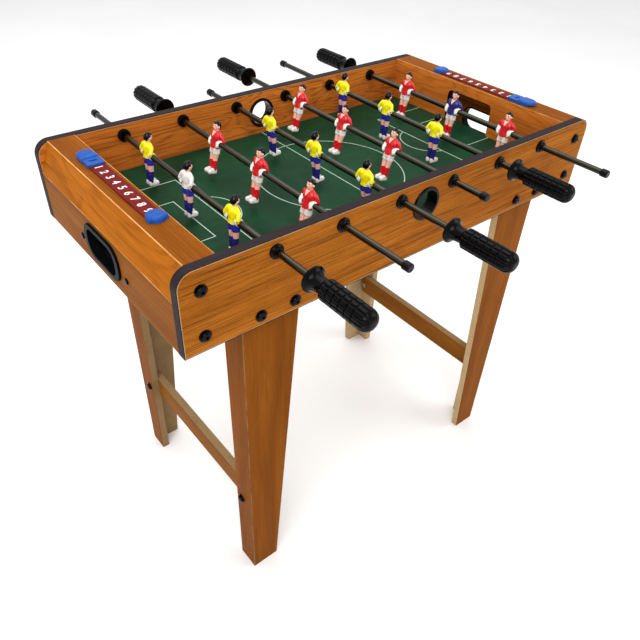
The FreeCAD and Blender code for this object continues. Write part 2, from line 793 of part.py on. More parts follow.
for number, (rod_place, shift, turn) in enumerate(zip(ROD_XS, ROD_SHIFTS, ROD_TURNS), 1):
    near_or_far = -1 if number % 2 else 1
    prefix = "rod_" + str(number)
    save(prefix + "_tube", tube(near_or_far, shift, rod_place))
    save(prefix + "_players", players(near_or_far, shift, rod_place, turn))
    save(prefix + "_handle", handle(near_or_far, shift, rod_place))
    save(prefix + "_cap", end_cap(near_or_far, shift, rod_place))
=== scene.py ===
"""Looks of a small free-standing football table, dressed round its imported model."""

import logging
import math
from dataclasses import dataclass, field
from enum import Enum
from typing import Optional, Sequence, Union

import bmesh
import bpy
from mathutils import Matrix, Vector, noise

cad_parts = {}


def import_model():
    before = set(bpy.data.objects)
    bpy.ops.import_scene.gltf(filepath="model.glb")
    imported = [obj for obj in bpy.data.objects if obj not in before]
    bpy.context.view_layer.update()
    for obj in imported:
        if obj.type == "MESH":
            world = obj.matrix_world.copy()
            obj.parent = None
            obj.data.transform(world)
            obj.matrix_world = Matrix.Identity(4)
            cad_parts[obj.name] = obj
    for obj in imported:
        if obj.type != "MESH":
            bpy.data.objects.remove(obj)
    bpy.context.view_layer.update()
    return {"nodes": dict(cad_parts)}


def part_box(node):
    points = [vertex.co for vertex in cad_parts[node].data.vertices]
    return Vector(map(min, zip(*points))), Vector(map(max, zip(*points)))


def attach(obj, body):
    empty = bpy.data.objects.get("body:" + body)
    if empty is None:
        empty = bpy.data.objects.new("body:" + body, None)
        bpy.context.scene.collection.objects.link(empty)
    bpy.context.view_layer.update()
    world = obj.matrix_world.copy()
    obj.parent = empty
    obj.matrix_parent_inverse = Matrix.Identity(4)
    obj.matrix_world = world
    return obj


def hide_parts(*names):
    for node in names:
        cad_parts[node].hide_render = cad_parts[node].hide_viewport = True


LOG = logging.getLogger("football_table")
MM = 0.001

Colour = tuple[float, float, float, float]
Socket = bpy.types.NodeSocket
Value = Union[Socket, float]


class Grain(Enum):
    """Which way the printed grain of a foil runs on its board."""

    LENGTHWAYS = (0, 1, 2)
    ACROSS = (1, 0, 2)
    UPRIGHT = (2, 0, 1)


class Bare(Enum):
    """Where a foiled board shows its raw core."""

    NOWHERE = "nowhere"
    PANEL_RIM = "a thin line along the edge band"
    LEG_INSIDE = "all but the two outer faces"
    RAIL_EDGES = "the narrow edges"
    GOAL_JAMBS = "the sides of the goal mouth, painted black"
    UNDERSIDE = "the bottom edge"


class Paint(Enum):
    """The painted areas of a player figure, in material order."""

    SHIRT = 0
    SHORTS = 1
    SOCKS = 2
    SKIN = 3
    SHOES = 4
    CUFFS = 5
    HAIR = 6
    FEATURES = 7


def srgb(red: int, green: int, blue: int) -> Colour:
    """Turn a display colour into the linear values that shaders use.

    Args:
        red: Red from 0 to 255.
        green: Green from 0 to 255.
        blue: Blue from 0 to 255.

    Returns:
        The linear colour with full opacity.
    """
    linear = []
    for part in (red, green, blue):
        share = part / 255
        linear.append(share / 12.92 if share <= 0.04045 else ((share + 0.055) / 1.055) ** 2.4)
    return (linear[0], linear[1], linear[2], 1.0)


def flow(keys: Sequence[Sequence[float]], steps: int) -> list[tuple[float, ...]]:
    """Fill in smooth rows between rows of numbers.

    Args:
        keys: The rows that the result passes through.
        steps: How many rows each gap is divided into.

    Returns:
        The filled list, from the first key to the last.
    """
    padded = [keys[0], *keys, keys[-1]]
    rows = []
    for index in range(1, len(padded) - 2):
        group = list(zip(*padded[index - 1 : index + 3]))
        for step in range(steps):
            t = step / steps
            rows.append(
                tuple(
                    q + 0.5 * t * (r - p + t * (2 * p - 5 * q + 4 * r - u + t * (3 * q - p - 3 * r + u)))
                    for p, q, r, u in group
                )
            )
    rows.append(tuple(keys[-1]))
    return rows


def smooth_step(low: float, high: float, value: float) -> float:
    """Ease from 0 at low to 1 at high.

    Args:
        low: Where the rise starts.
        high: Where the rise ends.
        value: The place to read.

    Returns:
        The eased share.
    """
    t = min(max((value - low) / (high - low), 0.0), 1.0)
    return t * t * (3 - 2 * t)


def bump_at(value: float, centre: float, spread: float) -> float:
    """A bell of height 1 at centre that fades over spread."""
    return math.exp(-(((value - centre) / spread) ** 2))


def angle_off_nose(turn: float) -> float:
    """How far round from the nose an angle is, whichever the side."""
    return abs((turn + math.pi) % (2 * math.pi) - math.pi)


class Graph:
    """A material's nodes under construction, measured in millimetres of the piece's own frame."""

    def __init__(self, name: str) -> None:
        """Start a material with one principled shader.

        Args:
            name: The material's name.
        """
        self.material = bpy.data.materials.new(name)
        self.material.use_nodes = True
        self.tree = self.material.node_tree
        self.tree.nodes.clear()
        self.shader = self.tree.nodes.new("ShaderNodeBsdfPrincipled")
        output = self.tree.nodes.new("ShaderNodeOutputMaterial")
        self.tree.links.new(self.shader.outputs["BSDF"], output.inputs["Surface"])
        coordinates = self.tree.nodes.new("ShaderNodeTexCoord")
        scale = self.tree.nodes.new("ShaderNodeVectorMath")
        scale.operation = "SCALE"
        scale.inputs["Scale"].default_value = 1 / MM
        self.tree.links.new(coordinates.outputs["Object"], scale.inputs[0])
        self.place = scale.outputs["Vector"]

    def put(self, socket: Socket, value: Union[Value, Colour, Sequence[float]]) -> None:
        """Link or set one input.

        Args:
            socket: The input.
            value: Another node's output, or a constant.
        """
        if isinstance(value, bpy.types.NodeSocket):
            self.tree.links.new(value, socket)
        else:
            socket.default_value = value

    def axes(self) -> tuple[Socket, Socket, Socket]:
        """The x, y and z of the shaded point in millimetres."""
        split = self.tree.nodes.new("ShaderNodeSeparateXYZ")
        self.tree.links.new(self.place, split.inputs[0])
        return split.outputs[0], split.outputs[1], split.outputs[2]

    def math(self, operation: str, first: Value, second: Value = 0.0) -> Socket:
        """One arithmetic step.

        Args:
            operation: The node's operation name.
            first: Its first number.
            second: Its second number.

        Returns:
            The result.
        """
        node = self.tree.nodes.new("ShaderNodeMath")
        node.operation = operation
        self.put(node.inputs[0], first)
        self.put(node.inputs[1], second)
        return node.outputs[0]

    def both(self, first: Value, second: Value) -> Socket:
        """The product of two masks."""
        return self.math("MULTIPLY", first, second)

    def either(self, first: Value, second: Value) -> Socket:
        """The larger of two masks."""
        return self.math("MAXIMUM", first, second)

    def noise(
        self,
        factors: Sequence[float],
        detail: float = 3.0,
        roughness: float = 0.55,
        bend: float = 0.0,
        seed: float = 0.0,
    ) -> Socket:
        """Soft random values over the piece.

        Args:
            factors: Cells per millimetre along x, y and z.
            detail: Layers of finer noise.
            roughness: Strength of the finer layers.
            bend: How far the pattern is warped.
            seed: Shift to another part of the pattern.

        Returns:
            The value, mostly from 0.2 to 0.8.
        """
        stretch = self.tree.nodes.new("ShaderNodeVectorMath")
        stretch.operation = "MULTIPLY_ADD"
        self.put(stretch.inputs[0], self.place)
        stretch.inputs[1].default_value = factors
        stretch.inputs[2].default_value = (seed * 7.31, seed * 3.17, seed * 5.23)
        node = self.tree.nodes.new("ShaderNodeTexNoise")
        node.inputs["Scale"].default_value = 1.0
        node.inputs["Detail"].default_value = detail
        node.inputs["Roughness"].default_value = roughness
        node.inputs["Distortion"].default_value = bend
        self.tree.links.new(stretch.outputs[0], node.inputs["Vector"])
        return node.outputs["Fac"]

    def ease(self, value: Value, low: float, high: float, start: float = 0.0, end: float = 1.0) -> Socket:
        """Ease a number from start to end while it goes from low to high.

        Args:
            value: The number.
            low: Where the change begins.
            high: Where it ends.
            start: The result up to low.
            end: The result from high on.

        Returns:
            The eased number.
        """
        node = self.tree.nodes.new("ShaderNodeMapRange")
        node.interpolation_type = "SMOOTHSTEP"
        self.put(node.inputs["Value"], value)
        for name, number in (("From Min", low), ("From Max", high), ("To Min", start), ("To Max", end)):
            node.inputs[name].default_value = number
        return node.outputs["Result"]

    def beyond(self, value: Value, plane: float, fade: float) -> Socket:
        """A mask of 1 above a plane and 0 below it, that fades over this distance on each side."""
        return self.ease(value, plane - fade, plane + fade)

    def below(self, value: Value, plane: float, fade: float) -> Socket:
        """A mask of 1 below a plane and 0 above it, that fades over this distance on each side."""
        return self.ease(value, plane + fade, plane - fade)

    def blend(self, share: Value, first: Union[Socket, Colour], second: Union[Socket, Colour]) -> Socket:
        """Mix two colours.

        Args:
            share: How much of the second shows.
            first: The colour below.
            second: The colour above.

        Returns:
            The mixed colour.
        """
        node = self.tree.nodes.new("ShaderNodeMix")
        node.data_type = "RGBA"
        self.put(node.inputs[0], share)
        self.put(node.inputs[6], first)
        self.put(node.inputs[7], second)
        return node.outputs[2]

    def finish(
        self,
        colour: Union[Socket, Colour],
        roughness: Value,
        height: Optional[Socket] = None,
        relief: float = 0.0,
        **constants: float,
    ) -> bpy.types.Material:
        """Connect the shader.

        Args:
            colour: The base colour.
            roughness: The surface roughness.
            height: A height pattern for the bump, if there is one.
            relief: That pattern's depth in millimetres.
            **constants: Fixed values for other shader sockets, with spaces written as underscores.

        Returns:
            The finished material.
        """
        self.put(self.shader.inputs["Base Color"], colour)
        self.put(self.shader.inputs["Roughness"], roughness)
        if height is not None:
            bump = self.tree.nodes.new("ShaderNodeBump")
            bump.inputs["Distance"].default_value = relief * MM
            self.put(bump.inputs["Height"], height)
            self.put(self.shader.inputs["Normal"], bump.outputs["Normal"])
        for name, number in constants.items():
            self.shader.inputs[name.replace("_", " ")].default_value = number
        return self.material


@dataclass(frozen=True)
class Fibreboard:
    """Raw pale core of the boards, with its short fibres and saw marks."""

    body: Colour = srgb(190, 164, 124)
    dark: Colour = srgb(142, 114, 78)

    def colour(self, graph: Graph) -> Socket:
        """The core's colour in a material.

        Args:
            graph: The material under construction.

        Returns:
            The colour.
        """
        fibres = graph.noise((0.9, 0.9, 0.9), 6.0, 0.7, seed=2.0)
        patches = graph.noise((0.03, 0.03, 0.03), 2.0, seed=4.0)
        tone = graph.blend(graph.ease(fibres, 0.35, 0.75), self.body, self.dark)
        return graph.blend(graph.ease(patches, 0.45, 0.8, 0.0, 0.35), tone, self.dark)

    def make(self, name: str) -> bpy.types.Material:
        """A board that is raw all over.

        Args:
            name: The material's name.

        Returns:
            The material.
        """
        graph = Graph(name)
        height = graph.noise((1.3, 1.3, 1.3), 5.0, 0.65, seed=3.0)
        return graph.finish(self.colour(graph), graph.ease(height, 0.2, 0.8, 0.72, 0.9), height, 0.15)


@dataclass(frozen=True)
class FoilLimits:
    """Where the foil stops on each kind of board, in millimetres from the table's middle and the floor."""

    leg_face: float = 266.5
    leg_side: float = 170.5
    leg_foot: float = 0.4
    leg_wear: float = 0.4
    rail_top: float = 176.75
    rail_bottom: float = 138.25
    rail_end: float = 151.75
    end_panel_bottom: float = 510.25
    side_panel_bottom: float = 511.7
    panel_turn_x: float = 325.0
    panel_turn_z: float = 596.0
    panel_turn_radius: float = 18.3
    goal_half: float = 61.0
    goal_top: float = 605.0


@dataclass(frozen=True)
class Laminate:
    """Printed wood foil on a board: long streaks, pores, and a slow flame figure."""

    name: str
    grain: Grain
    seed: float
    figure: float = 0.45
    contrast: float = 1.0
    bare: Bare = Bare.NOWHERE
    light: Colour = srgb(213, 124, 46)
    body: Colour = srgb(187, 103, 36)
    dark: Colour = srgb(113, 56, 19)
    board: Fibreboard = Fibreboard()
    limits: FoilLimits = FoilLimits()
    jamb_paint: Colour = srgb(16, 16, 17)

    def factors(self, along: float, across: float) -> tuple[float, float, float]:
        """Pattern cells per millimetre for x, y and z.

        Args:
            along: Cells per millimetre down the grain.
            across: Cells per millimetre across it.

        Returns:
            The three factors.
        """
        three = [across, across, across]
        three[self.grain.value[0]] = along
        return (three[0], three[1], three[2])

    def bare_mask(self, graph: Graph) -> Optional[Socket]:
        """Where the board's core shows through.

        Args:
            graph: The material under construction.

        Returns:
            The mask, or nothing for a fully foiled board.
        """
        x, y, z = graph.axes()
        wide = graph.math("ABSOLUTE", x)
        deep = graph.math("ABSOLUTE", y)
        limits = self.limits
        if self.bare is Bare.PANEL_RIM:
            return self.rim_mask(graph, wide, z)
        if self.bare is Bare.LEG_INSIDE:
            return self.leg_mask(graph, wide, deep, z)
        if self.bare is Bare.RAIL_EDGES:
            high = graph.beyond(z, limits.rail_top, 0.15)
            low = graph.below(z, limits.rail_bottom, 0.15)
            return graph.either(high, graph.either(low, graph.beyond(deep, limits.rail_end, 0.15)))
        if self.bare is Bare.UNDERSIDE:
            return graph.below(z, limits.end_panel_bottom, 0.15)
        return None

    def leg_mask(self, graph: Graph, wide: Socket, deep: Socket, z: Socket) -> Socket:
        """The core on a leg's inner faces, its foot, and in worn patches along its outer corner.

        Args:
            graph: The material under construction.
            wide: Distance from the middle of the table along its length.
            deep: Distance from the middle of the table across it.
            z: Height above the floor.

        Returns:
            The mask.
        """
        limits = self.limits
        face = graph.beyond(wide, limits.leg_face, 0.1)
        side = graph.beyond(deep, limits.leg_side, 0.1)
        near_face = graph.beyond(wide, limits.leg_face - limits.leg_wear, 0.5)
        near_side = graph.beyond(deep, limits.leg_side - limits.leg_wear, 0.5)
        patches = graph.ease(graph.noise((0.1, 0.1, 0.05)), 0.3, 0.6)
        worn = graph.both(graph.both(near_face, near_side), patches)
        inside = graph.math("SUBTRACT", 1.0, graph.either(face, side))
        return graph.either(graph.either(inside, worn), graph.below(z, limits.leg_foot, 0.2))

    def rim_mask(self, graph: Graph, wide: Socket, z: Socket) -> Socket:
        """A hair line of core along a side panel's edge band.

        Args:
            graph: The material under construction.
            wide: Distance from the middle of the table along its length.
            z: Height above the floor.

        Returns:
            The mask.
        """
        limits = self.limits
        past_end = graph.math("MAXIMUM", graph.math("SUBTRACT", wide, limits.panel_turn_x), 0.0)
        past_top = graph.math("MAXIMUM", graph.math("SUBTRACT", z, limits.panel_turn_z), 0.0)
        corner = graph.math(
            "SQRT", graph.math("ADD", graph.both(past_end, past_end), graph.both(past_top, past_top))
        )
        line = graph.either(
            graph.beyond(corner, limits.panel_turn_radius, 0.2), graph.below(z, limits.side_panel_bottom, 0.2)
        )
        broken = graph.noise((0.05, 0.05, 0.05), 4.0, 0.6, seed=self.seed)
        return graph.both(line, graph.ease(broken, 0.3, 0.5, 0.35, 1.0))

    def make(self) -> bpy.types.Material:
        """Build the foil.

        Returns:
            The material.
        """
        graph = Graph(self.name)
        clouds = graph.noise(self.factors(0.003, 0.035), 2.0, seed=self.seed)
        strands = graph.noise(self.factors(0.007, 0.7), 5.0, 0.62, 0.12, self.seed + 1)
        hairs = graph.noise(self.factors(0.02, 2.3), 4.0, 0.6, 0.1, self.seed + 2)
        pores = graph.noise(self.factors(0.12, 3.6), 2.0, 0.5, 0.0, self.seed + 3)
        slow = graph.noise(self.factors(0.0035, 0.017), 2.0, 0.45, 0.6, self.seed + 4)
        flame = graph.math("SINE", graph.math("MULTIPLY", slow, 95.0))
        flame = graph.both(graph.ease(flame, -0.1, 1.0), graph.ease(strands, 0.3, 0.62))
        depth = self.contrast
        colour = graph.blend(graph.ease(clouds, 0.3, 0.7), self.body, self.light)
        colour = graph.blend(graph.ease(strands, 0.5, 0.69, 0.0, 0.62 * depth), colour, self.dark)
        colour = graph.blend(graph.ease(hairs, 0.52, 0.65, 0.0, 0.55 * depth), colour, self.dark)
        colour = graph.blend(graph.both(flame, self.figure), colour, self.dark)
        colour = graph.blend(graph.ease(pores, 0.6, 0.72, 0.0, 0.4 * depth), colour, self.dark)
        rough = graph.ease(strands, 0.3, 0.75, 0.36, 0.5)
        if self.bare is Bare.GOAL_JAMBS:
            colour = graph.blend(self.jamb_mask(graph), colour, self.jamb_paint)
        mask = self.bare_mask(graph)
        if mask is not None:
            colour = graph.blend(mask, colour, self.board.colour(graph))
            rough = graph.math("ADD", rough, graph.both(mask, 0.35))
        height = graph.math("ADD", hairs, pores)
        return graph.finish(colour, rough, height, 0.05, Specular_IOR_Level=0.06, IOR=1.2)

    def jamb_mask(self, graph: Graph) -> Socket:
        """The painted cut edge of the goal mouth, told by the way that it faces.

        Args:
            graph: The material under construction.

        Returns:
            The mask.
        """
        geometry = graph.tree.nodes.new("ShaderNodeNewGeometry")
        split = graph.tree.nodes.new("ShaderNodeSeparateXYZ")
        graph.tree.links.new(geometry.outputs["True Normal"], split.inputs[0])
        facing = graph.ease(graph.math("ABSOLUTE", split.outputs[0]), 0.75, 0.7)
        _, y, z = graph.axes()
        between = graph.below(graph.math("ABSOLUTE", y), self.limits.goal_half, 1.0)
        return graph.both(facing, graph.both(between, graph.below(z, self.limits.goal_top, 1.0)))


@dataclass(frozen=True)
class EdgeBand:
    """Charcoal plastic strip glued round a panel, scuffed and chipped here and there."""

    body: Colour = srgb(42, 35, 37)
    worn: Colour = srgb(70, 60, 60)
    chip: Colour = srgb(214, 202, 186)

    def make(self, name: str) -> bpy.types.Material:
        """Build the strip's plastic.

        Args:
            name: The material's name.

        Returns:
            The material.
        """
        graph = Graph(name)
        scuffs = graph.noise((0.04, 0.5, 0.2), 5.0, 0.65, seed=5.0)
        grit = graph.noise((1.6, 1.6, 1.6), 3.0, 0.6, seed=6.0)
        spots = graph.noise((0.09, 0.25, 0.09), 3.0, 0.7, seed=9.5)
        colour = graph.blend(graph.ease(scuffs, 0.5, 0.85, 0.0, 0.6), self.body, self.worn)
        colour = graph.blend(graph.ease(grit, 0.6, 0.8, 0.0, 0.3), colour, self.worn)
        colour = graph.blend(graph.ease(spots, 0.76, 0.78), colour, self.chip)
        rough = graph.ease(scuffs, 0.3, 0.8, 0.42, 0.6)
        return graph.finish(colour, rough, grit, 0.06, Specular_IOR_Level=0.15, IOR=1.2)


@dataclass(frozen=True)
class PitchFoil:
    """Printed green pitch with a faint weave and a satin face."""

    body: Colour = srgb(23, 66, 41)
    deep: Colour = srgb(16, 49, 30)
    pale: Colour = srgb(32, 80, 52)
    printed_from: float = 549.7

    def make(self, name: str) -> bpy.types.Material:
        """Build the pitch.

        Args:
            name: The material's name.

        Returns:
            The material.
        """
        graph = Graph(name)
        patches = graph.noise((0.012, 0.012, 0.012), 3.0, 0.55, 0.4, 1.0)
        grit = graph.noise((1.4, 1.4, 1.4), 3.0, 0.6, seed=2.0)
        wipes = graph.noise((0.01, 0.14, 0.1), 3.0, 0.5, 0.5, 3.0)
        colour = graph.blend(graph.ease(patches, 0.3, 0.7), self.deep, self.body)
        colour = graph.blend(graph.ease(wipes, 0.5, 0.8, 0.0, 0.3), colour, self.pale)
        colour = graph.blend(graph.ease(grit, 0.55, 0.8, 0.0, 0.3), colour, self.deep)
        _, _, z = graph.axes()
        colour = graph.blend(graph.below(z, self.printed_from, 0.1), colour, Fibreboard().colour(graph))
        rough = graph.ease(wipes, 0.3, 0.75, 0.36, 0.5)
        return graph.finish(colour, rough, grit, 0.04, Specular_IOR_Level=0.3, IOR=1.2)


@dataclass(frozen=True)
class Moulded:
    """Moulded or painted plastic: one colour with faint flow marks, dust and fine scratches."""

    body: Colour
    roughness: float = 0.3
    cells: float = 0.6
    relief: float = 0.03
    dust: float = 0.12
    coat: float = 0.0
    specular: float = 0.5
    ior: float = 1.45

    def make(self, name: str) -> bpy.types.Material:
        """Build the plastic.

        Args:
            name: The material's name.

        Returns:
            The material.
        """
        graph = Graph(name)
        mottle = graph.noise((self.cells * 0.2,) * 3, 3.0, 0.55, 0.3, 1.5)
        grit = graph.noise((self.cells * 3,) * 3, 4.0, 0.6, seed=2.5)
        scratch = graph.noise((self.cells * 0.15, self.cells * 2, self.cells * 4), 2.0, seed=3.5)
        lighter = tuple(min(1.0, part * 1.25 + 0.012) for part in self.body[:3]) + (1.0,)
        darker = tuple(part * 0.78 for part in self.body[:3]) + (1.0,)
        colour = graph.blend(graph.ease(mottle, 0.3, 0.7), darker, self.body)
        colour = graph.blend(graph.ease(grit, 0.55, 0.8, 0.0, self.dust * 2), colour, lighter)
        rough = graph.math("ADD", graph.ease(mottle, 0.3, 0.7, -0.05, 0.06), self.roughness)
        rough = graph.math("ADD", rough, graph.ease(scratch, 0.62, 0.75, 0.0, 0.12))
        return graph.finish(
            colour,
            rough,
            grit,
            self.relief,
            Coat_Weight=self.coat,
            Coat_Roughness=0.12,
            Specular_IOR_Level=self.specular,
            IOR=self.ior,
        )


@dataclass(frozen=True)
class Metal:
    """Plated or blackened metal with marks that run round or along it."""

    body: Colour
    worn: Colour
    roughness: float = 0.2
    factors: tuple[float, float, float] = (1.2, 0.02, 1.2)

    def make(self, name: str) -> bpy.types.Material:
        """Build the metal.

        Args:
            name: The material's name.

        Returns:
            The material.
        """
        graph = Graph(name)
        draw = graph.noise(self.factors, 4.0, 0.6, seed=1.0)
        smears = graph.noise((0.08, 0.03, 0.08), 3.0, 0.6, 0.5, 2.0)
        colour = graph.blend(graph.ease(draw, 0.35, 0.7, 0.0, 0.6), self.body, self.worn)
        rough = graph.math("ADD", graph.ease(smears, 0.35, 0.7, 0.0, 0.12), self.roughness)
        return graph.finish(colour, rough, draw, 0.008, Metallic=1.0)


class Shell:
    """A piece's surface, gathered in millimetres and built in metres."""

    def __init__(self) -> None:
        """Start with nothing."""
        self.points: list[Vector] = []
        self.faces: list[tuple[int, ...]] = []
        self.paints: list[int] = []

    def add(self, points: Sequence[Vector], faces: Sequence[Sequence[int]], paint: int = 0) -> None:
        """Add a patch.

        Args:
            points: Its corners.
            faces: Its faces, counted within those corners.
            paint: Which material it takes.
        """
        start = len(self.points)
        self.points.extend(points)
        for face in faces:
            self.faces.append(tuple(start + index for index in face))
            self.paints.append(paint)

    def loft(self, rings: Sequence[Sequence[Vector]], paint: int = 0, capped: bool = True) -> None:
        """Skin a row of closed rings.

        Args:
            rings: The rings, all with the same number of points.
            paint: Which material the skin takes.
            capped: Whether the two ends are closed.
        """
        count = len(rings[0])
        points = [point for ring in rings for point in ring]
        faces: list[Sequence[int]] = []
        for row in range(len(rings) - 1):
            low, high = row * count, (row + 1) * count
            for step in range(count):
                after = (step + 1) % count
                faces.append((low + step, low + after, high + after, high + step))
        if capped:
            last = (len(rings) - 1) * count
            faces.append(tuple(reversed(range(count))))
            faces.append(tuple(range(last, last + count)))
        self.add(points, faces, paint)

    def mesh(
        self, name: str, materials: Sequence[bpy.types.Material], crease: float = 38.0
    ) -> bpy.types.Mesh:
        """Build the surface.

        Args:
            name: The mesh's name.
            materials: Its materials, in the order of the paint numbers.
            crease: Edges sharper than this angle, in degrees, stay crisp.

        Returns:
            The mesh.
        """
        mesh = bpy.data.meshes.new(name)
        mesh.from_pydata([point * MM for point in self.points], [], self.faces)
        for material in materials:
            mesh.materials.append(material)
        mesh.polygons.foreach_set("material_index", self.paints)
        grown = bmesh.new()
        grown.from_mesh(mesh)
        bmesh.ops.recalc_face_normals(grown, faces=grown.faces)
        grown.to_mesh(mesh)
        grown.free()
        mesh.shade_smooth()
        mesh.set_sharp_from_angle(angle=math.radians(crease))
        mesh.update()
        return mesh


def oval(
    z: float, x: float, y: float, depth: float, width: float, count: int, power: float = 2.0
) -> list[Vector]:
    """A level ring.

    Args:
        z: Its height.
        x: Its centre forwards.
        y: Its centre sideways.
        depth: Half its size forwards.
        width: Half its size sideways.
        count: How many points it has.
        power: 2 for an ellipse, more for a squarer ring.

    Returns:
        The ring's points.
    """
    ring = []
    for step in range(count):
        turn = 2 * math.pi * step / count
        c, s = math.cos(turn), math.sin(turn)
        reach = (abs(c) ** power + abs(s) ** power) ** (-1 / power)
        ring.append(Vector((x + depth * c * reach, y + width * s * reach, z)))
    return ring


def blob(centre: Vector, radii: Vector, count: int = 14) -> list[list[Vector]]:
    """Rings of a small rounded lump.

    Args:
        centre: Its middle.
        radii: Half its size along x, y and z.
        count: Points in each ring.

    Returns:
        The rings, from the bottom up.
    """
    rings = []
    levels = count // 2 + 1
    for level in range(1, levels):
        polar = math.pi * level / levels
        reach = math.sin(polar)
        height = centre.z - radii.z * math.cos(polar)
        rings.append(oval(height, centre.x, centre.y, radii.x * reach, radii.y * reach, count))
    return rings


def along_path(path: Sequence[Sequence[float]], count: int) -> list[list[Vector]]:
    """Rings round a bent limb.

    Args:
        path: Rows of x, y, z and radius.
        count: Points in each ring.

    Returns:
        The rings.
    """
    rings = []
    for index, (x, y, z, radius) in enumerate(path):
        before = Vector(path[max(index - 1, 0)][:3])
        after = Vector(path[min(index + 1, len(path) - 1)][:3])
        turn = (after - before).to_track_quat("Z", "X")
        ring = []
        for step in range(count):
            angle = 2 * math.pi * step / count
            spoke = Vector((math.cos(angle), math.sin(angle), 0.0)) * radius
            ring.append(Vector((x, y, z)) + turn @ spoke)
        rings.append(ring)
    return rings


def place_piece(
    name: str, mesh: bpy.types.Mesh, body: str, slot: str, matrix: Optional[Matrix] = None
) -> bpy.types.Object:
    """Put a piece into the scene and hang it on its body.

    Args:
        name: The piece's name.
        mesh: Its surface.
        body: The body that it moves with.
        slot: The name of a material slot; not used.
        matrix: Where it stands, if it isn't built in place.

    Returns:
        The piece.
    """
    piece = bpy.data.objects.new(name, mesh)
    bpy.context.scene.collection.objects.link(piece)
    if matrix is not None:
        piece.matrix_world = matrix
    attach(piece, body)
    LOG.info("%s rides on %s", name, body)
    return piece


def dress(nodes: dict[str, bpy.types.Object], names: Sequence[str], material: bpy.types.Material) -> None:
    """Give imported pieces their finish.

    Args:
        nodes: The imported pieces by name.
        names: The pieces to dress.
        material: Their finish.
    """
    for name in names:
        for slot in nodes[name].material_slots:
            slot.material = material
        LOG.info("%s is finished in %s", name, material.name)


@dataclass
class Cabinet:
    """The box of the table: long side panels, folded end boards and what is hidden in them."""

    nodes: dict[str, bpy.types.Object]
    bead: float = 0.5
    bead_inset: float = 0.12
    bead_steps: int = 120
    bead_gap: float = 0.5
    bead_swell: float = 1.9
    bead_change: float = 0.8
    bead_wave: float = 0.05
    # The fold beads' pale colour, a painted highlight along the folds.
    fold_highlight_tone: Colour = srgb(232, 170, 96)

    def dress(self) -> None:
        """Finish every board."""
        panels = {
            # Painted shade: the near side panel takes darker copies of the foil's tones, toned to how this
            # face is lit.
            "near_side_panel": Laminate(
                "foil_near_side", Grain.LENGTHWAYS, 1.0, 0.12, 1.45, Bare.PANEL_RIM,
                srgb(170, 101, 30), srgb(145, 82, 21), srgb(80, 39, 10),
            ),
            "far_side_panel": Laminate("foil_far_side", Grain.LENGTHWAYS, 14.0, 0.6, 1.0, Bare.PANEL_RIM),
        }
        for end, seed in (("left_", 3.0), ("right_", 8.0)):
            panels[end + "inner_wall"] = Laminate(
                "foil_" + end + "wall", Grain.ACROSS, seed, 0.4, 0.8, Bare.GOAL_JAMBS
            )
            # Painted light and shade: the top, slope and end boards take their own darker copies of the
            # foil's tones, the slope lighter than the top, to match how each face is lit.
            panels[end + "top_board"] = Laminate(
                "foil_" + end + "top", Grain.ACROSS, seed + 1, 0.1, 0.9,
                light=srgb(145, 82, 22), body=srgb(125, 67, 14), dark=srgb(81, 38, 7),
            )
            panels[end + "slope_board"] = Laminate(
                "foil_" + end + "slope", Grain.ACROSS, seed + 2, 0.4, 0.5,
                light=srgb(180, 105, 25), body=srgb(157, 86, 17), dark=srgb(106, 52, 9),
            )
            panels[end + "end_panel"] = Laminate(
                "foil_" + end + "end", Grain.ACROSS, seed + 3, 0.15, 0.4, Bare.UNDERSIDE,
                light=srgb(140, 83, 22), body=srgb(121, 67, 14), dark=srgb(82, 41, 8),
            )
        for name, finish in panels.items():
            dress(self.nodes, [name], finish.make())
        dress(self.nodes, ["edge_bands"], EdgeBand().make("charcoal_band"))
        dress(self.nodes, ["corner_blocks", "field_cleats"], Fibreboard().make("raw_blocks"))

    def add_fold_lines(self) -> None:
        """Lay a pale bead along the three folds of each end, its colour a painted highlight on each fold
        edge.
        """
        # Painted highlight: the beads are coloured pale to stand for the light caught by each fold.
        finish = Moulded(self.fold_highlight_tone, 0.5, 0.5, 0.05, 0.5).make("fold_highlight_bead")
        shell = Shell()
        for end in ("left", "right"):
            top_low, top_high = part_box(end + "_top_board")
            slope_low, slope_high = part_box(end + "_slope_board")
            side = 1 if top_low.x > 0 else -1
            pitch_edge = min(abs(top_low.x), abs(top_high.x)) / MM
            outer_edge = max(abs(top_low.x), abs(top_high.x)) / MM
            end_edge = max(abs(slope_low.x), abs(slope_high.x)) / MM
            level = top_high.z / MM
            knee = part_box(end + "_end_panel")[1].z / MM
            inset = self.bead_inset + self.bead
            start, stop = top_low.y / MM + self.bead_gap, top_high.y / MM - self.bead_gap
            for x, z in (
                (pitch_edge + inset, level - inset),
                (outer_edge - inset * 0.6, level - inset),
                (end_edge - inset, knee - inset * 0.5),
            ):
                self.lay_bead(shell, side * x, z, start, stop)
        mesh = shell.mesh("fold_lines", [finish])
        place_piece("fold_lines", mesh, "cabinet", "wood_laminate")

    def lay_bead(self, shell: Shell, x: float, z: float, start: float, stop: float) -> None:
        """One thin uneven bead across the table.

        Args:
            shell: The surface to add to.
            x: Its place along the table.
            z: Its height.
            start: Where it begins across the table.
            stop: Where it ends.
        """
        path = []
        for step in range(self.bead_steps + 1):
            y = start + (stop - start) * step / self.bead_steps
            bead_ripple = noise.noise(Vector((x, y * self.bead_wave, z)))
            path.append((x, y, z, self.bead + self.bead_inset * (self.bead_swell + self.bead_change * bead_ripple)))
        shell.loft(along_path(path, 8))


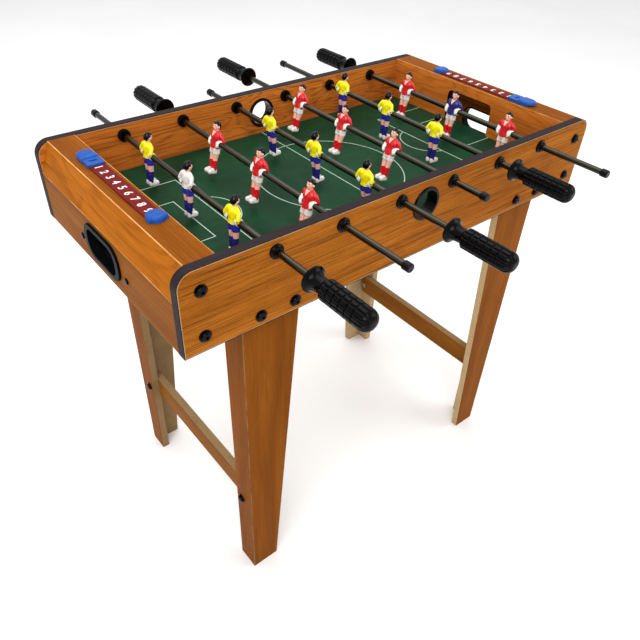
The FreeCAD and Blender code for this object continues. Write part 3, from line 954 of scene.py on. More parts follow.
@dataclass
class Pitch:
    """The green board and its painted lines, in millimetres."""

    nodes: dict[str, bpy.types.Object]
    line: float = 1.5
    lift: float = 0.12
    circle: float = 107.5
    penalty_front: float = 192.0
    penalty_half: float = 104.0
    goal_fronts: tuple[float, float] = (224.0, 231.0)
    goal_half: float = 52.0
    arc_centre: float = 206.0
    arc_radius: float = 45.5
    wall_gap: float = 0.4
    bar_steps: int = 24
    arc_step: float = 3.0
    tone: Colour = srgb(172, 198, 178)
    shell: Shell = field(default_factory=Shell)
    level: float = field(init=False, default=0.0)

    def dress(self) -> None:
        """Finish the board and paint its lines."""
        dress(self.nodes, ["playfield"], PitchFoil().make("pitch_foil"))
        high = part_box("playfield")[1]
        self.level = high.z / MM
        half_width = high.y / MM - self.wall_gap
        wall = min(abs(corner.x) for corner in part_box("right_inner_wall")) / MM - self.wall_gap
        self.add_bar(0, 0, -half_width, half_width)
        self.add_arc(0, 0, self.circle, 0, 360)
        for side, goal_front in zip((-1, 1), self.goal_fronts):
            self.add_box(side, self.penalty_front, self.penalty_half, wall)
            self.add_box(side, goal_front, self.goal_half, wall)
            reach = math.degrees(math.acos((self.arc_centre - self.penalty_front) / self.arc_radius))
            middle = 180 if side > 0 else 0
            self.add_arc(side * self.arc_centre, 0, self.arc_radius, middle - reach, middle + reach)
        paint = Moulded(self.tone, 0.5, 0.8, 0.02, 0.4).make("line_paint")
        place_piece("pitch_lines", self.shell.mesh("pitch_lines", [paint]), "cabinet", "green_field")

    def add_strip(self, first: Sequence[Vector], second: Sequence[Vector], closed: bool = False) -> None:
        """A flat painted strip between two edges.

        Args:
            first: Points of one edge.
            second: Points of the other.
            closed: Whether the strip joins up.
        """
        count = len(first)
        points = list(first) + list(second)
        faces = []
        for step in range(count if closed else count - 1):
            after = (step + 1) % count
            faces.append((step, after, count + after, count + step))
        self.shell.add(points, faces)

    def add_bar(self, x0: float, x1: float, y0: float, y1: float) -> None:
        """A straight line.

        Args:
            x0: Start along the table.
            x1: End along the table.
            y0: Start across the table.
            y1: End across the table.
        """
        height = self.level + self.lift
        start, end = Vector((x0, y0, height)), Vector((x1, y1, height))
        side = (end - start).normalized().cross(Vector((0, 0, 1))) * self.line / 2
        middle = [start.lerp(end, step / self.bar_steps) for step in range(self.bar_steps + 1)]
        self.add_strip([point - side for point in middle], [point + side for point in middle])

    def add_box(self, side: int, front: float, half: float, wall: float) -> None:
        """A three-sided box against an end wall.

        Args:
            side: -1 for the left end, 1 for the right.
            front: The front line's place along the table.
            half: Half the box's width.
            wall: Where its sides stop.
        """
        self.add_bar(side * front, side * front, -half - self.line / 2, half + self.line / 2)
        for y in (-half, half):
            self.add_bar(side * (front + self.line / 2), side * wall, y, y)

    def add_arc(self, x: float, y: float, radius: float, start: float, stop: float) -> None:
        """A round line.

        Args:
            x: Its centre along the table.
            y: Its centre across the table.
            radius: Its radius.
            start: First angle in degrees.
            stop: Last angle in degrees.
        """
        closed = stop - start >= 360
        steps = max(12, int((stop - start) / self.arc_step))
        edges: list[list[Vector]] = [[], []]
        for step in range(steps if closed else steps + 1):
            turn = math.radians(start + (stop - start) * step / steps)
            for edge, offset in zip(edges, (-self.line / 2, self.line / 2)):
                reach = radius + offset
                along, across = x + reach * math.cos(turn), y + reach * math.sin(turn)
                edge.append(Vector((along, across, self.level + self.lift)))
        self.add_strip(edges[0], edges[1], closed)


@dataclass
class Stand:
    """Legs and stretchers."""

    nodes: dict[str, bpy.types.Object]
    pale_core: Fibreboard = Fibreboard()
    # Painted shade: the stretchers' core is darkened partway towards the shade on the left stretcher.
    shade_darkened_rail_core: Fibreboard = Fibreboard(srgb(158, 131, 95), srgb(117, 92, 62))
    # Painted shade: a darker core for the two left legs, which stand in shade.
    shaded_core: Fibreboard = Fibreboard(srgb(141, 114, 81), srgb(102, 79, 52))

    def dress(self) -> None:
        """Finish the legs and the rails between them."""
        legs = ("near_left_leg", "near_right_leg", "far_left_leg", "far_right_leg")
        for number, name in enumerate(legs):
            # Painted shade: the legs take darker copies of the foil's tones.
            foil = Laminate(
                "foil_" + name, Grain.UPRIGHT, 20.0 + 3 * number, 0.15, 0.6, Bare.LEG_INSIDE,
                srgb(134, 76, 19), srgb(115, 62, 13), srgb(78, 40, 9),
                self.shaded_core if "left" in name else self.pale_core,
            )
            dress(self.nodes, [name], foil.make())
        # Painted shade: the stretchers take darker copies of the foil's tones.
        rail = Laminate(
            "foil_stretchers", Grain.ACROSS, 33.0, 0.2, 0.7, Bare.RAIL_EDGES,
            srgb(138, 85, 27), srgb(119, 70, 23), srgb(84, 47, 15), self.shade_darkened_rail_core,
        )
        dress(self.nodes, ["stretchers"], rail.make())


@dataclass
class Fittings:
    """Plastic and metal parts fixed to the cabinet and the stand."""

    nodes: dict[str, bpy.types.Object]

    def dress(self) -> None:
        """Finish the fittings."""
        gloss = Moulded(srgb(5, 5, 6), 0.14, 0.7, 0.015, 0.05, 0.0, 0.4, 1.22).make("gloss_black")
        lip = Moulded(srgb(10, 13, 14), 0.24, 0.7, 0.02, 0.06, 0.0, 0.06, 1.2).make("lip_black")
        satin = Moulded(srgb(15, 15, 16), 0.4, 0.8, 0.05, 0.2, 0.0, 0.4, 1.22).make("satin_black")
        bolts = Metal(srgb(20, 19, 20), srgb(44, 42, 42), 0.26, (0.8, 0.8, 0.8)).make("black_bolts")
        zinc = Metal(srgb(186, 186, 184), srgb(150, 150, 150), 0.24, (0.9, 0.9, 0.9)).make("bright_zinc")
        dress(self.nodes, ["ball_entries", "rod_bushings"], gloss)
        dress(self.nodes, ["return_frames"], lip)
        dress(self.nodes, ["ball_trays", "entry_collars", "bushing_nuts"], satin)
        dress(self.nodes, ["panel_bolts", "stretcher_bolts", "washers", "tray_screws"], bolts)
        dress(self.nodes, ["leg_nuts", "barrel_nuts"], zinc)


@dataclass
class Scorers:
    """Slide scorers on both end boards, in millimetres."""

    nodes: dict[str, bpy.types.Object]
    pitch: float = 15.6
    height: float = 10.0
    squeeze: float = 1.0
    weight: float = 0.3
    nought_shift: float = -1.2
    thick: float = 0.06
    numerals: int = 10
    middle_numeral: int = 5
    type_size: float = 1.38

    def dress(self) -> None:
        """Finish strips, stops and sliders, and print the numbers."""
        maroon = Moulded(srgb(112, 30, 29), 0.36, 0.7, 0.03, 0.2, 0.0, 0.12, 1.2).make("maroon_strip")
        blue = Moulded(srgb(33, 83, 166), 0.26, 0.6, 0.02, 0.12, 0.0, 0.3, 1.25).make("blue_marker")
        dress(self.nodes, ["score_strips"], maroon)
        dress(self.nodes, ["score_caps", "left_score_slider", "right_score_slider"], blue)
        ink = Moulded(srgb(236, 232, 226), 0.45, 0.8, 0.02, 0.2).make("number_ink")
        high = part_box("score_strips")[1]
        slider_low, slider_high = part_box("left_score_slider")
        place = (slider_low.x + slider_high.x) / 2 / MM
        shell = Shell()
        for side in (-1, 1):
            for number in range(self.numerals):
                y = -side * (self.middle_numeral - number) * self.pitch
                if number == 0:
                    y += self.nought_shift
                self.print_number(shell, str(number), side * abs(place), y, high.z / MM, side)
        place_piece("score_numbers", shell.mesh("score_numbers", [ink]), "cabinet", "maroon_plastic")

    def print_number(self, shell: Shell, text: str, x: float, y: float, z: float, side: int) -> None:
        """Lay one numeral on a strip, to be read from its end of the table.

        Args:
            shell: The surface to add to.
            text: The numeral.
            x: Its centre along the table.
            y: Its centre across the table.
            z: The strip's top face.
            side: -1 for the left scorer, 1 for the right.
        """
        curve = bpy.data.curves.new("numeral", "FONT")
        curve.body = text
        curve.size = self.height * self.type_size
        curve.offset = self.weight
        curve.extrude = self.thick / 2
        curve.resolution_u = 4
        curve.align_x = "CENTER"
        holder = bpy.data.objects.new("numeral", curve)
        bpy.context.scene.collection.objects.link(holder)
        graph = bpy.context.evaluated_depsgraph_get()
        shape = bpy.data.meshes.new_from_object(holder.evaluated_get(graph))
        tall = [vertex.co.y for vertex in shape.vertices]
        middle = (min(tall) + max(tall)) / 2
        points = []
        for vertex in shape.vertices:
            right = vertex.co.x * self.squeeze
            up = vertex.co.y - middle
            points.append(Vector((x - side * up, y + side * right, z + self.thick / 2 + vertex.co.z)))
        shell.add(points, [tuple(face.vertices) for face in shape.polygons])
        bpy.data.objects.remove(holder)
        bpy.data.curves.remove(curve)
        bpy.data.meshes.remove(shape)


@dataclass(frozen=True)
class Kit:
    """The cut of one kind of player's clothes, as heights in millimetres from the rod's axis."""

    name: str
    shirt_hem: float
    shorts_hem: float
    sock_top: float
    open_neck: bool


@dataclass(frozen=True)
class Swell:
    """A soft rise or hollow of the face: how far out, and its place and spread round and up the head."""

    out: float
    turn: float
    turn_spread: float
    up: float
    up_spread: float

    def at(self, wide: float, up: float) -> float:
        """How far the face is pushed out at one place."""
        return self.out * bump_at(wide, self.turn, self.turn_spread) * bump_at(up, self.up, self.up_spread)


@dataclass(frozen=True)
class Feature:
    """A painted lump on each side of the face: its angles, how deep it sits and half its size."""

    polar: float
    turn: float
    sunk: float
    radii: tuple[float, float, float]


@dataclass(frozen=True)
class Hair:
    """Short combed hair: its edge as angles down from the crown, the rest in millimetres."""

    levels: int = 14
    thick: float = 0.65
    forehead: float = 1.02
    nape: float = 1.12
    sideburn: float = 0.3
    wave: float = 0.05
    comb: float = 0.13
    comb_lines: int = 16
    quiff: float = 0.35
    thin_from: float = 0.9
    thinning: float = 4.5
    tuck: float = 1.2

    def edge(self, wide: float, turn: float) -> float:
        """How far down the hair reaches at an angle from the nose."""
        drop = self.forehead + self.nape * smooth_step(1.15, 2.3, wide)
        return drop + self.sideburn * bump_at(wide, 1.3, 0.16) + self.wave * math.sin(7 * turn)

    def grow(self, wide: float, turn: float, level: int) -> float:
        """How far the hair stands off the head.

        Args:
            wide: Angle from the nose without its side.
            turn: Angle round from the nose.
            level: The ring's number, where one past the last is tucked under the edge.

        Returns:
            The height of its surface over the head.
        """
        share = min(level, self.levels) / self.levels
        comb = self.comb * math.sin(self.comb_lines * turn + 5 * share) * share
        quiff = self.quiff * bump_at(wide, 0.2, 0.8) * bump_at(share, 0.85, 0.3)
        thinner = self.tuck if level > self.levels else self.thinning * max(0.0, share - self.thin_from)
        return self.thick + comb + quiff - thinner


@dataclass
class Figure:
    """A moulded player about the rod's axis, facing +x, in millimetres."""

    torso: tuple[tuple[float, ...], ...] = (
        (-10.0, 0.3, 5.9, 7.8),
        (-5.0, 0.2, 5.9, 7.8),
        (0.0, 0.0, 5.7, 7.6),
        (4.0, -0.2, 5.8, 8.3),
        (8.5, 0.0, 6.2, 9.5),
        (12.0, -0.2, 5.4, 9.3),
        (14.3, -0.3, 4.2, 6.8),
        (16.0, 0.0, 3.0, 3.4),
    )
    arm: tuple[tuple[float, ...], ...] = (
        (-0.2, 7.2, 12.2, 2.7),
        (-0.7, 9.6, 10.8, 3.1),
        (-2.0, 12.0, 7.0, 2.7),
        (-3.0, 13.2, 3.6, 2.5),
        (-2.2, 12.9, 1.2, 2.4),
        (0.2, 12.0, 0.2, 2.3),
        (2.4, 10.8, -0.6, 2.1),
    )
    hand: tuple[tuple[float, ...], ...] = (
        (1.2, 11.4, 0.2, 2.2),
        (3.2, 10.4, -1.2, 2.3),
        (4.2, 9.2, -3.2, 2.0),
        (4.0, 8.2, -5.0, 1.1),
    )
    sleeve: tuple[tuple[float, float], ...] = (
        (6.5, 4.9),
        (9.0, 4.9),
        (11.2, 4.9),
        (12.2, 4.8),
        (12.6, 4.5),
        (12.6, 4.12),
    )
    thumb: tuple[tuple[float, ...], ...] = (
        (0.6, 11.0, 3.6, 1.7),
        (0.4, 12.6, 4.3, 1.3),
        (0.2, 14.4, 4.5, 0.5),
    )
    leg: tuple[tuple[float, ...], ...] = (
        (-11.0, 0.2, 4.0, 4.2, 3.9),
        (-17.0, 0.5, 4.0, 3.9, 3.6),
        (-21.0, 0.9, 3.9, 3.5, 3.2),
        (-24.0, 1.2, 3.8, 3.3, 3.0),
        (-27.5, 0.8, 3.7, 3.4, 3.1),
        (-31.0, 0.7, 3.6, 3.1, 2.9),
        (-35.0, 0.8, 3.6, 2.7, 2.6),
        (-38.5, 0.9, 3.6, 2.8, 2.7),
    )
    shoe: tuple[tuple[float, ...], ...] = (
        (-2.6, -42.6, -37.6, 1.6),
        (-1.8, -43.4, -36.4, 2.5),
        (1.0, -43.5, -35.2, 2.9),
        (4.0, -43.5, -35.2, 3.0),
        (6.5, -43.4, -36.2, 3.1),
        (8.8, -43.1, -36.8, 3.2),
        (10.3, -42.3, -37.4, 2.8),
        (11.0, -41.2, -38.8, 1.6),
    )
    hips: tuple[tuple[float, ...], ...] = (
        (-2.0, 0.2, 5.2, 7.2),
        (-6.0, 0.3, 5.5, 7.5),
        (-9.5, 0.3, 5.2, 7.4),
        (-10.8, 0.3, 4.2, 6.6),
    )
    neck: tuple[tuple[float, ...], ...] = (
        (13.0, 0.0, 3.2, 3.2),
        (15.5, 0.2, 2.8, 2.8),
        (18.0, 0.4, 2.9, 2.9),
    )
    chest_square: float = 2.3
    crease: float = 0.55
    collar_tip: float = 8.4
    collar_top: float = 15.8
    collar_flare: float = 0.46
    sock_thick: float = 0.3
    sock_roll: float = 0.35
    shoe_apart: float = 3.7
    shoe_square: float = 3.0
    shoe_taper: float = 0.12
    head_centre: Vector = field(default_factory=lambda: Vector((0.8, 0.0, 21.9)))
    head_radii: Vector = field(default_factory=lambda: Vector((5.2, 4.7, 6.3)))
    nose: Swell = Swell(1.15, 0.0, 0.17, -0.14, 0.16)
    brow_ridge: Swell = Swell(0.3, 0.0, 0.5, 0.2, 0.08)
    eye_hollow: Swell = Swell(-0.5, 0.37, 0.17, 0.05, 0.1)
    lips: Swell = Swell(0.3, 0.0, 0.22, -0.5, 0.06)
    chin: Swell = Swell(0.55, 0.0, 0.3, -0.76, 0.14)
    eye: Feature = Feature(1.5, 0.37, 0.15, (0.35, 0.75, 0.5))
    brow: Feature = Feature(1.3, 0.4, 0.1, (0.35, 1.1, 0.3))
    ear: tuple[float, float, float] = (0.4, 4.7, 21.4)
    ear_radii: tuple[float, float, float] = (1.2, 0.8, 1.6)
    hair: Hair = Hair()
    ring: int = 28
    face_ring: int = 40
    face_levels: int = 30
    face_crowding: float = 0.55

    def mesh(self, kit: Kit, paints: Sequence[bpy.types.Material]) -> bpy.types.Mesh:
        """Build one kind of player.

        Args:
            kit: The cut of their clothes.
            paints: Materials in the order of Paint.

        Returns:
            The mesh.
        """
        shell = Shell()
        self.add_shirt(shell, kit)
        self.add_shorts(shell, kit)
        for side in (-1, 1):
            self.add_arm(shell, side)
            self.add_leg(shell, side, kit.sock_top)
            self.add_shoe(shell, side)
        self.add_head(shell)
        return shell.mesh(kit.name, paints, 50.0)

    def add_shirt(self, shell: Shell, kit: Kit) -> None:
        """The shirt with soft creases.

        Args:
            shell: The surface to add to.
            kit: The cut of the clothes.
        """
        rings = []
        rows = [row for row in flow(self.torso, 6) if row[0] > kit.shirt_hem + 0.4]
        _, x, depth, width = rows[0]
        hem = [
            (kit.shirt_hem, x, depth - 0.2, width - 0.2),
            (kit.shirt_hem + 0.3, x, depth + 0.25, width + 0.25),
        ]
        for z, x, depth, width in hem + rows:
            ring = []
            for point in oval(z, x, 0.0, depth, width, self.ring, self.chest_square):
                crease = noise.noise(Vector((point.x * 0.28, point.y * 0.3 + z * 0.16, z * 0.22 + 3.0)))
                out = Vector((point.x - x, point.y, 0.0)).normalized()
                ring.append(point + out * crease * self.crease)
            rings.append(ring)
        shell.loft(rings, Paint.SHIRT.value)
        if kit.open_neck:
            self.add_neck_opening(shell)

    def add_neck_opening(self, shell: Shell) -> None:
        """A V of skin on the chest.

        Args:
            shell: The surface to add to.
        """
        across = 7
        middle = across // 2
        square = self.chest_square
        rows = [row for row in flow(self.torso, 3) if self.collar_tip - 0.01 <= row[0] <= self.collar_top]
        points = []
        for z, x, depth, width in rows:
            half = 0.1 + self.collar_flare * (z - self.collar_tip)
            for step in range(across):
                y = half * (step - middle) / middle
                front = depth * (1 - min(abs(y) / width, 0.99) ** square) ** (1 / square)
                points.append(Vector((x + front + 0.5, y, z)))
        faces = []
        for row in range(len(rows) - 1):
            for corner in range(row * across, row * across + across - 1):
                faces.append((corner, corner + 1, corner + across + 1, corner + across))
        shell.add(points, faces, Paint.SKIN.value)

    def add_shorts(self, shell: Shell, kit: Kit) -> None:
        """Hips and two short legs with a flared hem.

        Args:
            shell: The surface to add to.
            kit: The cut of the clothes.
        """
        hem = kit.shorts_hem
        hips = [oval(z, x, 0.0, d, w, self.ring, 2.4) for z, x, d, w in flow(self.hips, 3)]
        shell.loft(hips, Paint.SHORTS.value)
        legs = (
            (-6.0, 0.2, 3.6, 5.3, 3.9),
            (-9.5, 0.3, 3.9, 5.2, 4.1),
            (hem + 0.6, 0.5, 4.1, 5.1, 4.4),
            (hem, 0.5, 4.1, 4.8, 4.1),
        )
        for side in (-1, 1):
            rings = [oval(z, x, side * y, d, w, 20, 2.2) for z, x, y, d, w in flow(legs, 3)]
            shell.loft(rings, Paint.SHORTS.value)

    def add_arm(self, shell: Shell, side: int) -> None:
        """A sleeved arm bent to the hip, the cuff and hand round the rod.

        Args:
            shell: The surface to add to.
            side: -1 or 1.
        """
        path = [(x, side * y, z, r) for x, y, z, r in flow(self.arm, 3)]
        shell.loft(along_path(path, 16), Paint.SHIRT.value)
        turns = [2 * math.pi * step / 24 for step in range(24)]
        rings = []
        for y, radius in self.sleeve:
            ring = [Vector((radius * math.cos(turn), side * y, radius * math.sin(turn))) for turn in turns]
            rings.append(ring)
        shell.loft(rings, Paint.CUFFS.value, capped=False)
        for limb in (self.hand, self.thumb):
            path = [(x, side * y, z, r) for x, y, z, r in flow(limb, 3)]
            shell.loft(along_path(path, 12), Paint.CUFFS.value)

    def add_leg(self, shell: Shell, side: int, sock_top: float) -> None:
        """A bare leg inside a sock.

        Args:
            shell: The surface to add to.
            side: -1 or 1.
            sock_top: Height of the sock's upper edge.
        """
        rows = flow(self.leg, 4)
        skin = [oval(z, x, side * y, d, w, 18) for z, x, y, d, w in rows]
        shell.loft(skin, Paint.SKIN.value)
        sock = []
        for z, x, y, d, w in rows:
            if z <= sock_top:
                roll = self.sock_thick + self.sock_roll * bump_at(z, sock_top - 0.8, 1.0)
                sock.append(oval(z, x, side * y, d + roll, w + roll, 18))
        shell.loft(sock, Paint.SOCKS.value)

    def add_shoe(self, shell: Shell, side: int) -> None:
        """A boot with its toe turned up for kicking.

        Args:
            shell: The surface to add to.
            side: -1 or 1.
        """
        square = self.shoe_square
        rings = []
        for x, low, high, half in flow(self.shoe, 3):
            ring = []
            for step in range(18):
                turn = 2 * math.pi * step / 18
                c, s = math.cos(turn), math.sin(turn)
                reach = (abs(c) ** square + abs(s) ** square) ** (-1 / square)
                y = side * self.shoe_apart + half * c * reach * (1 - self.shoe_taper * s)
                z = (low + high) / 2 + (high - low) / 2 * s * reach
                ring.append(Vector((x, y, z)))
            rings.append(ring)
        shell.loft(rings, Paint.SHOES.value)

    def head_point(self, polar: float, turn: float, grow: float = 0.0) -> Vector:
        """A point on the plain doll-like head.

        Args:
            polar: Angle down from the crown.
            turn: Angle round from the nose.
            grow: How far the surface is pushed out.

        Returns:
            The point.
        """
        up = math.cos(polar)
        out = math.sin(polar)
        wide = angle_off_nose(turn)
        reach = grow
        for swell in (self.nose, self.brow_ridge, self.eye_hollow, self.lips, self.chin):
            reach += swell.at(wide, up)
        jaw = 1 - 0.2 * smooth_step(0.1, -0.9, up)
        radii = self.head_radii
        point = Vector(
            (
                (radii.x + reach) * out * math.cos(turn),
                (radii.y * jaw + reach * 0.8) * out * math.sin(turn),
                (radii.z + grow) * up,
            )
        )
        return self.head_centre + point

    def face_turns(self) -> list[float]:
        """Angles round the head, closer together over the face."""
        even = (2 * math.pi * step / self.face_ring for step in range(self.face_ring))
        return [angle - self.face_crowding * math.sin(angle) for angle in even]

    def add_head(self, shell: Shell) -> None:
        """Neck, head, ears, hair and painted features.

        Args:
            shell: The surface to add to.
        """
        turns = self.face_turns()
        neck = [oval(z, x, 0.0, d, w, 20) for z, x, d, w in flow(self.neck, 3)]
        shell.loft(neck, Paint.SKIN.value)
        face = []
        for level in range(1, self.face_levels):
            polar = math.pi * level / self.face_levels
            face.append([self.head_point(polar, turn) for turn in turns])
        shell.loft(face, Paint.SKIN.value)
        x, y, z = self.ear
        for side in (-1, 1):
            shell.loft(blob(Vector((x, side * y, z)), Vector(self.ear_radii)), Paint.SKIN.value)
            for feature, paint in ((self.eye, Paint.FEATURES), (self.brow, Paint.HAIR)):
                centre = self.head_point(feature.polar, side * feature.turn, -feature.sunk)
                shell.loft(blob(centre, Vector(feature.radii), 10), paint.value)
        shell.loft(self.hair_rings(turns), Paint.HAIR.value)

    def hair_rings(self, turns: Sequence[float]) -> list[list[Vector]]:
        """The surface of the hair.

        Args:
            turns: Angles round the head.

        Returns:
            The rings, from the crown to inside the hairline.
        """
        hair = self.hair
        rings = []
        for level in range(1, hair.levels + 2):
            share = min(level, hair.levels) / hair.levels
            ring = []
            for turn in turns:
                wide = angle_off_nose(turn)
                polar = hair.edge(wide, turn) * share
                ring.append(self.head_point(polar, turn, hair.grow(wide, turn, level)))
            rings.append(ring)
        return rings


@dataclass
class Grip:
    """A handle from its flange along local -y, in millimetres, with a grid of raised blocks."""

    bore: float = 4.2
    barrel: float = 12.2
    start: float = 22.6
    length: float = 88.0
    end_round: float = 9.5
    ribs: int = 12
    rib_groove: float = 1.5
    cross_groove: float = 1.3
    rows: int = 6
    shoulder: float = 1.0
    shoulder_drop: float = 1.1
    round_steps: int = 9
    neck: tuple[tuple[float, float], ...] = (
        (0.0, 14.0),
        (0.4, 14.7),
        (1.3, 15.0),
        (2.3, 14.8),
        (2.9, 13.9),
        (3.6, 12.2),
        (5.4, 10.6),
        (8.0, 9.6),
        (10.5, 9.0),
        (13.5, 8.8),
        (18.0, 8.6),
        (19.8, 9.1),
    )
    rib_shares: tuple[float, ...] = (0.0, 0.05, 0.1, 0.16, 0.24, 0.38, 0.62, 0.76, 0.84, 0.9, 0.95)
    block_shares: tuple[float, ...] = (0.22, 0.5, 0.78)
    groove_profile: tuple[tuple[float, float], ...] = (
        (-1.1, 0.0),
        (-0.85, 0.25),
        (-0.5, 1.0),
        (0.5, 1.0),
        (0.85, 0.25),
        (1.1, 0.0),
    )

    def angles(self) -> list[tuple[float, float]]:
        """Angle and groove share of every column of points."""
        columns = []
        for rib in range(self.ribs):
            for share in self.rib_shares:
                near = min(share, 1 - share)
                columns.append((2 * math.pi * (rib + share) / self.ribs, 1 - smooth_step(0.06, 0.2, near)))
        return columns

    def barrel_rows(self) -> list[tuple[float, float, float, float]]:
        """Distance, radius, rib groove depth and cross groove depth of every ring on the barrel."""
        rows = [
            (self.start - self.shoulder, self.barrel - self.shoulder_drop, 0.35, 0.0),
            (self.start, self.barrel, 0.75, 0.0),
        ]
        stop = self.length - self.end_round
        step = (stop - self.start) / self.rows
        for number in range(self.rows):
            first = self.start + step * number
            for share in self.block_shares:
                rows.append((first + step * share, self.barrel, 1.0, 0.0))
            if number < self.rows - 1:
                for offset, depth in self.groove_profile:
                    rows.append((first + step + offset, self.barrel, 1.0, depth))
        rows.append((stop - 0.2, self.barrel, 1.0, 0.0))
        for number in range(1, self.round_steps + 1):
            turn = math.radians(90 * number / self.round_steps)
            reach = self.barrel - self.end_round + self.end_round * math.cos(turn)
            rows.append((stop + self.end_round * math.sin(turn), reach, 1 - 0.07 * number, 0.0))
        return rows

    def mesh(self, material: bpy.types.Material) -> bpy.types.Mesh:
        """Build the handle.

        Args:
            material: Its plastic.

        Returns:
            The mesh.
        """
        shell = Shell()
        columns = self.angles()
        smooth = [(distance, radius, 0.0, 0.0) for distance, radius in ((0.0, self.bore), *self.neck)]
        rings = []
        for distance, radius, rib, cross in smooth + self.barrel_rows():
            ring = []
            for turn, groove in columns:
                depth = max(self.rib_groove * rib * groove, self.cross_groove * cross)
                reach = radius - depth
                ring.append(Vector((reach * math.cos(turn), -distance, reach * math.sin(turn))))
            rings.append(ring)
        shell.loft(rings)
        return shell.mesh("handle_grip", [material], 42.0)


@dataclass
class Team:
    """What one side wears."""

    name: str
    slot: str
    field_mesh: bpy.types.Mesh
    keeper_mesh: bpy.types.Mesh


@dataclass
class Rods:
    """The six rods with players, handles and caps."""

    nodes: dict[str, bpy.types.Object]
    spacing: float = 0.101
    count: int = 6
    turns: tuple[float, ...] = (5.0, 11.0, -4.0, 13.0, 3.0, 7.0)

    def plastic(self, name: str, red: int, green: int, blue: int) -> bpy.types.Material:
        """Glossy paint of a player.

        Args:
            name: The material's name.
            red: Red from 0 to 255.
            green: Green from 0 to 255.
            blue: Blue from 0 to 255.

        Returns:
            The material.
        """
        return Moulded(srgb(red, green, blue), 0.3, 1.4, 0.03, 0.1, 0.15).make(name)

    def teams(self) -> tuple[Team, Team]:
        """Build the four kinds of player.

        Returns:
            The team that plays to the right and the team that plays to the left.
        """
        yellow = self.plastic("shirt_yellow", 255, 242, 0)
        red = self.plastic("shirt_red", 216, 24, 34)
        white = self.plastic("kit_white", 236, 232, 226)
        blue = self.plastic("shorts_blue", 34, 42, 158)
        navy = self.plastic("kit_navy", 36, 34, 118)
        skin = self.plastic("skin_pink", 255, 194, 172)
        hair = Moulded(srgb(4, 4, 5), 0.1, 1.4, 0.015, 0.04, 0.0, 0.5, 1.3).make("hair_black")
        figure = Figure()
        common = (skin, white, white, hair, hair)
        long_shirt = (-7.5, -14.5, -24.0, True)
        short_shirt = (-4.0, -13.5, -22.5, False)
        right = Team(
            "yellow",
            "yellow_plastic",
            figure.mesh(Kit("player_yellow", *short_shirt), (yellow, blue, navy, *common)),
            figure.mesh(Kit("keeper_white", *short_shirt), (white, blue, navy, *common)),
        )
        left = Team(
            "red",
            "red_plastic",
            figure.mesh(Kit("player_red", *long_shirt), (red, white, red, *common)),
            figure.mesh(Kit("keeper_navy", *long_shirt), (navy, white, red, *common)),
        )
        return right, left

    def dress(self) -> None:
        """Finish the tubes and caps, and add players and handles."""
        # Painted reflection: the rod steel is darkened to a dark olive, standing in for the dark pitch that
        # the chrome rods mirror.
        steel = Metal(srgb(70, 69, 60), srgb(46, 45, 39), 0.16).make("steel_with_painted_dark_reflection")
        rubber = Moulded(srgb(6, 6, 7), 0.22, 0.9, 0.02, 0.06, 0.0, 0.5, 1.24).make("cap_rubber")
        grip = Moulded(srgb(3, 3, 4), 0.12, 0.8, 0.012, 0.03, 0.0, 0.3, 1.25).make("grip_black")
        handle = Grip().mesh(grip)
        teams = self.teams()
        for number in range(1, self.count + 1):
            prefix = f"rod_{number}"
            dress(self.nodes, [prefix + "_tube"], steel)
            dress(self.nodes, [prefix + "_cap"], rubber)
            low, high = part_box(prefix + "_tube")
            axis = (low + high) / 2
            self.add_handle(number, axis, handle)
            self.add_players(number, axis, teams[(number + 1) % 2])

    def add_handle(self, number: int, axis: Vector, mesh: bpy.types.Mesh) -> None:
        """Fit the handle over the rod's end.

        Args:
            number: The rod's number from the left.
            axis: The middle of the rod.
            mesh: The handle's surface.
        """
        low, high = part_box(f"rod_{number}_handle")
        near = high.y < 0
        flange = high.y if near else low.y
        matrix = Matrix.Translation((axis.x, flange, axis.z))
        if not near:
            matrix = matrix @ Matrix.Rotation(math.pi, 4, "Z")
        piece = place_piece(f"handle_{number}", mesh, f"figures_{number}", "black_plastic", matrix)
        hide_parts(f"rod_{number}_handle")

    def add_players(self, number: int, axis: Vector, team: Team) -> None:
        """Set three players on the rod.

        Args:
            number: The rod's number from the left.
            axis: The middle of the rod.
            team: What they wear.
        """
        low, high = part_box(f"rod_{number}_players")
        middle = (low.y + high.y) / 2
        keeper_rod = number in (1, self.count)
        for step, place in ((-1, "near"), (0, "middle"), (1, "far")):
            mesh = team.keeper_mesh if keeper_rod and step == 0 else team.field_mesh
            matrix = Matrix.Translation((axis.x, middle + step * self.spacing, axis.z))
            matrix = matrix @ Matrix.Rotation(math.radians(self.turns[number - 1]), 4, "Y")
            if team.name == "red":
                matrix = matrix @ Matrix.Rotation(math.pi, 4, "Z")
            piece = place_piece(f"player_{number}_{place}", mesh, f"figures_{number}", team.slot, matrix)
            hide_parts(f"rod_{number}_players")


@dataclass(frozen=True)
class Softbox:
    """A square soft light: where it hangs and its width in metres, and its power in watts."""

    name: str
    place: tuple[float, float, float]
    size: float
    power: float


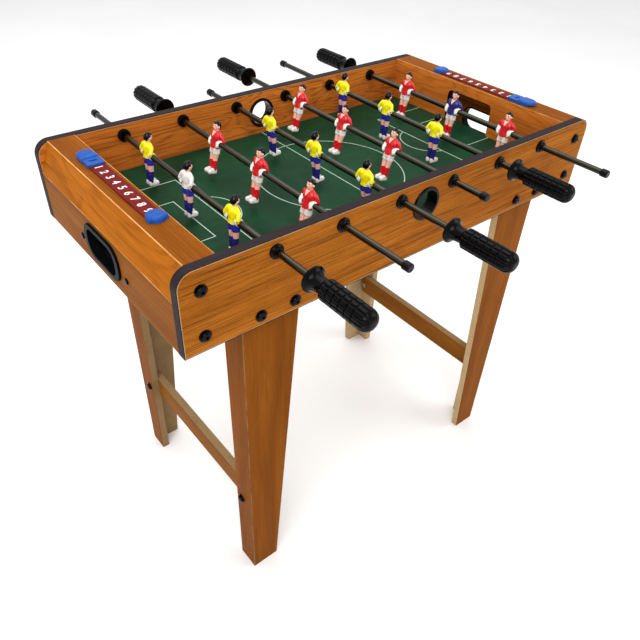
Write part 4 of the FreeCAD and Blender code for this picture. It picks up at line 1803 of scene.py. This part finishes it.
@dataclass
class Studio:
    """Floor, lights and camera, in metres."""

    floor_half: float = 6.0
    eye: Vector = field(default_factory=lambda: Vector((-0.54703, -0.62613, 0.95860)))
    azimuth: float = -40.875
    elevation: float = 39.488
    roll: float = 2.813
    lens: float = 35.19
    surroundings: float = 0.85
    floor_tones: tuple[float, float] = (0.9, 0.93)
    aim: tuple[float, float, float] = (0.0, 0.0, 0.45)
    lights: tuple[Softbox, ...] = (
        Softbox("key", (-1.5, -1.3, 2.4), 1.8, 46.0),
        Softbox("fill", (1.9, -1.6, 1.7), 1.6, 20.0),
        Softbox("overhead", (0.2, 1.0, 2.7), 2.2, 30.0),
    )

    def build(self) -> None:
        """Set up the whole studio."""
        self.lay_floor()
        self.light_world()
        for light in self.lights:
            self.hang_softbox(light)
        self.aim_camera()

    def lay_floor(self) -> None:
        """A plain pale floor."""
        graph = Graph("pale_floor")
        tone = graph.noise((0.002, 0.002, 0.002), 2.0, seed=1.0)
        low, high = ((grey, grey, grey, 1.0) for grey in self.floor_tones)
        colour = graph.blend(graph.ease(tone, 0.3, 0.7), low, high)
        material = graph.finish(colour, 0.9, Specular_IOR_Level=0.1)
        half = self.floor_half
        corners = [(-half, -half, 0.0), (half, -half, 0.0), (half, half, 0.0), (-half, half, 0.0)]
        mesh = bpy.data.meshes.new("floor")
        mesh.from_pydata(corners, [], [(0, 1, 2, 3)])
        mesh.materials.append(material)
        floor = bpy.data.objects.new("floor", mesh)
        bpy.context.scene.collection.objects.link(floor)

    def light_world(self) -> None:
        """Even white surroundings, and colours shown as they are."""
        scene = bpy.context.scene
        world = bpy.data.worlds.new("white_surroundings")
        world.use_nodes = True
        background = world.node_tree.nodes["Background"]
        background.inputs["Color"].default_value = (1.0, 1.0, 1.0, 1.0)
        background.inputs["Strength"].default_value = self.surroundings
        scene.world = world
        scene.view_settings.view_transform = "Standard"
        scene.view_settings.look = "None"

    def hang_softbox(self, light: Softbox) -> None:
        """Hang one soft light and turn it to the table.

        Args:
            light: Its place, size and power.
        """
        lamp = bpy.data.lights.new(light.name, "AREA")
        lamp.size = light.size
        lamp.energy = light.power
        holder = bpy.data.objects.new(light.name, lamp)
        holder.location = light.place
        way = Vector(self.aim) - Vector(light.place)
        holder.rotation_euler = way.to_track_quat("-Z", "Y").to_euler()
        bpy.context.scene.collection.objects.link(holder)

    def aim_camera(self) -> None:
        """Stand the camera off the near left corner, looking down over the pitch."""
        a, e, tilt = (math.radians(angle) for angle in (self.azimuth, self.elevation, self.roll))
        back = Vector((math.sin(a) * math.cos(e), -math.cos(a) * math.cos(e), math.sin(e)))
        level = Vector((math.cos(a), math.sin(a), 0.0))
        upright = back.cross(level)
        right = math.cos(tilt) * level + math.sin(tilt) * upright
        up = math.cos(tilt) * upright - math.sin(tilt) * level
        turn = Matrix((right, up, back)).transposed().to_4x4()
        lens = bpy.data.cameras.new("camera")
        lens.lens = self.lens
        lens.clip_start = 0.01
        camera = bpy.data.objects.new("camera", lens)
        camera.matrix_world = Matrix.Translation(self.eye) @ turn
        bpy.context.scene.collection.objects.link(camera)
        bpy.context.scene.camera = camera


def main() -> None:
    """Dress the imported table, part by part."""
    logging.basicConfig(level=logging.INFO, format="%(message)s")
    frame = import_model()
    nodes = frame["nodes"]
    Studio().build()
    cabinet = Cabinet(nodes)
    cabinet.dress()
    cabinet.add_fold_lines()
    Pitch(nodes).dress()
    Stand(nodes).dress()
    Fittings(nodes).dress()
    Scorers(nodes).dress()
    Rods(nodes).dress()


if __name__ == "__main__":
    main()
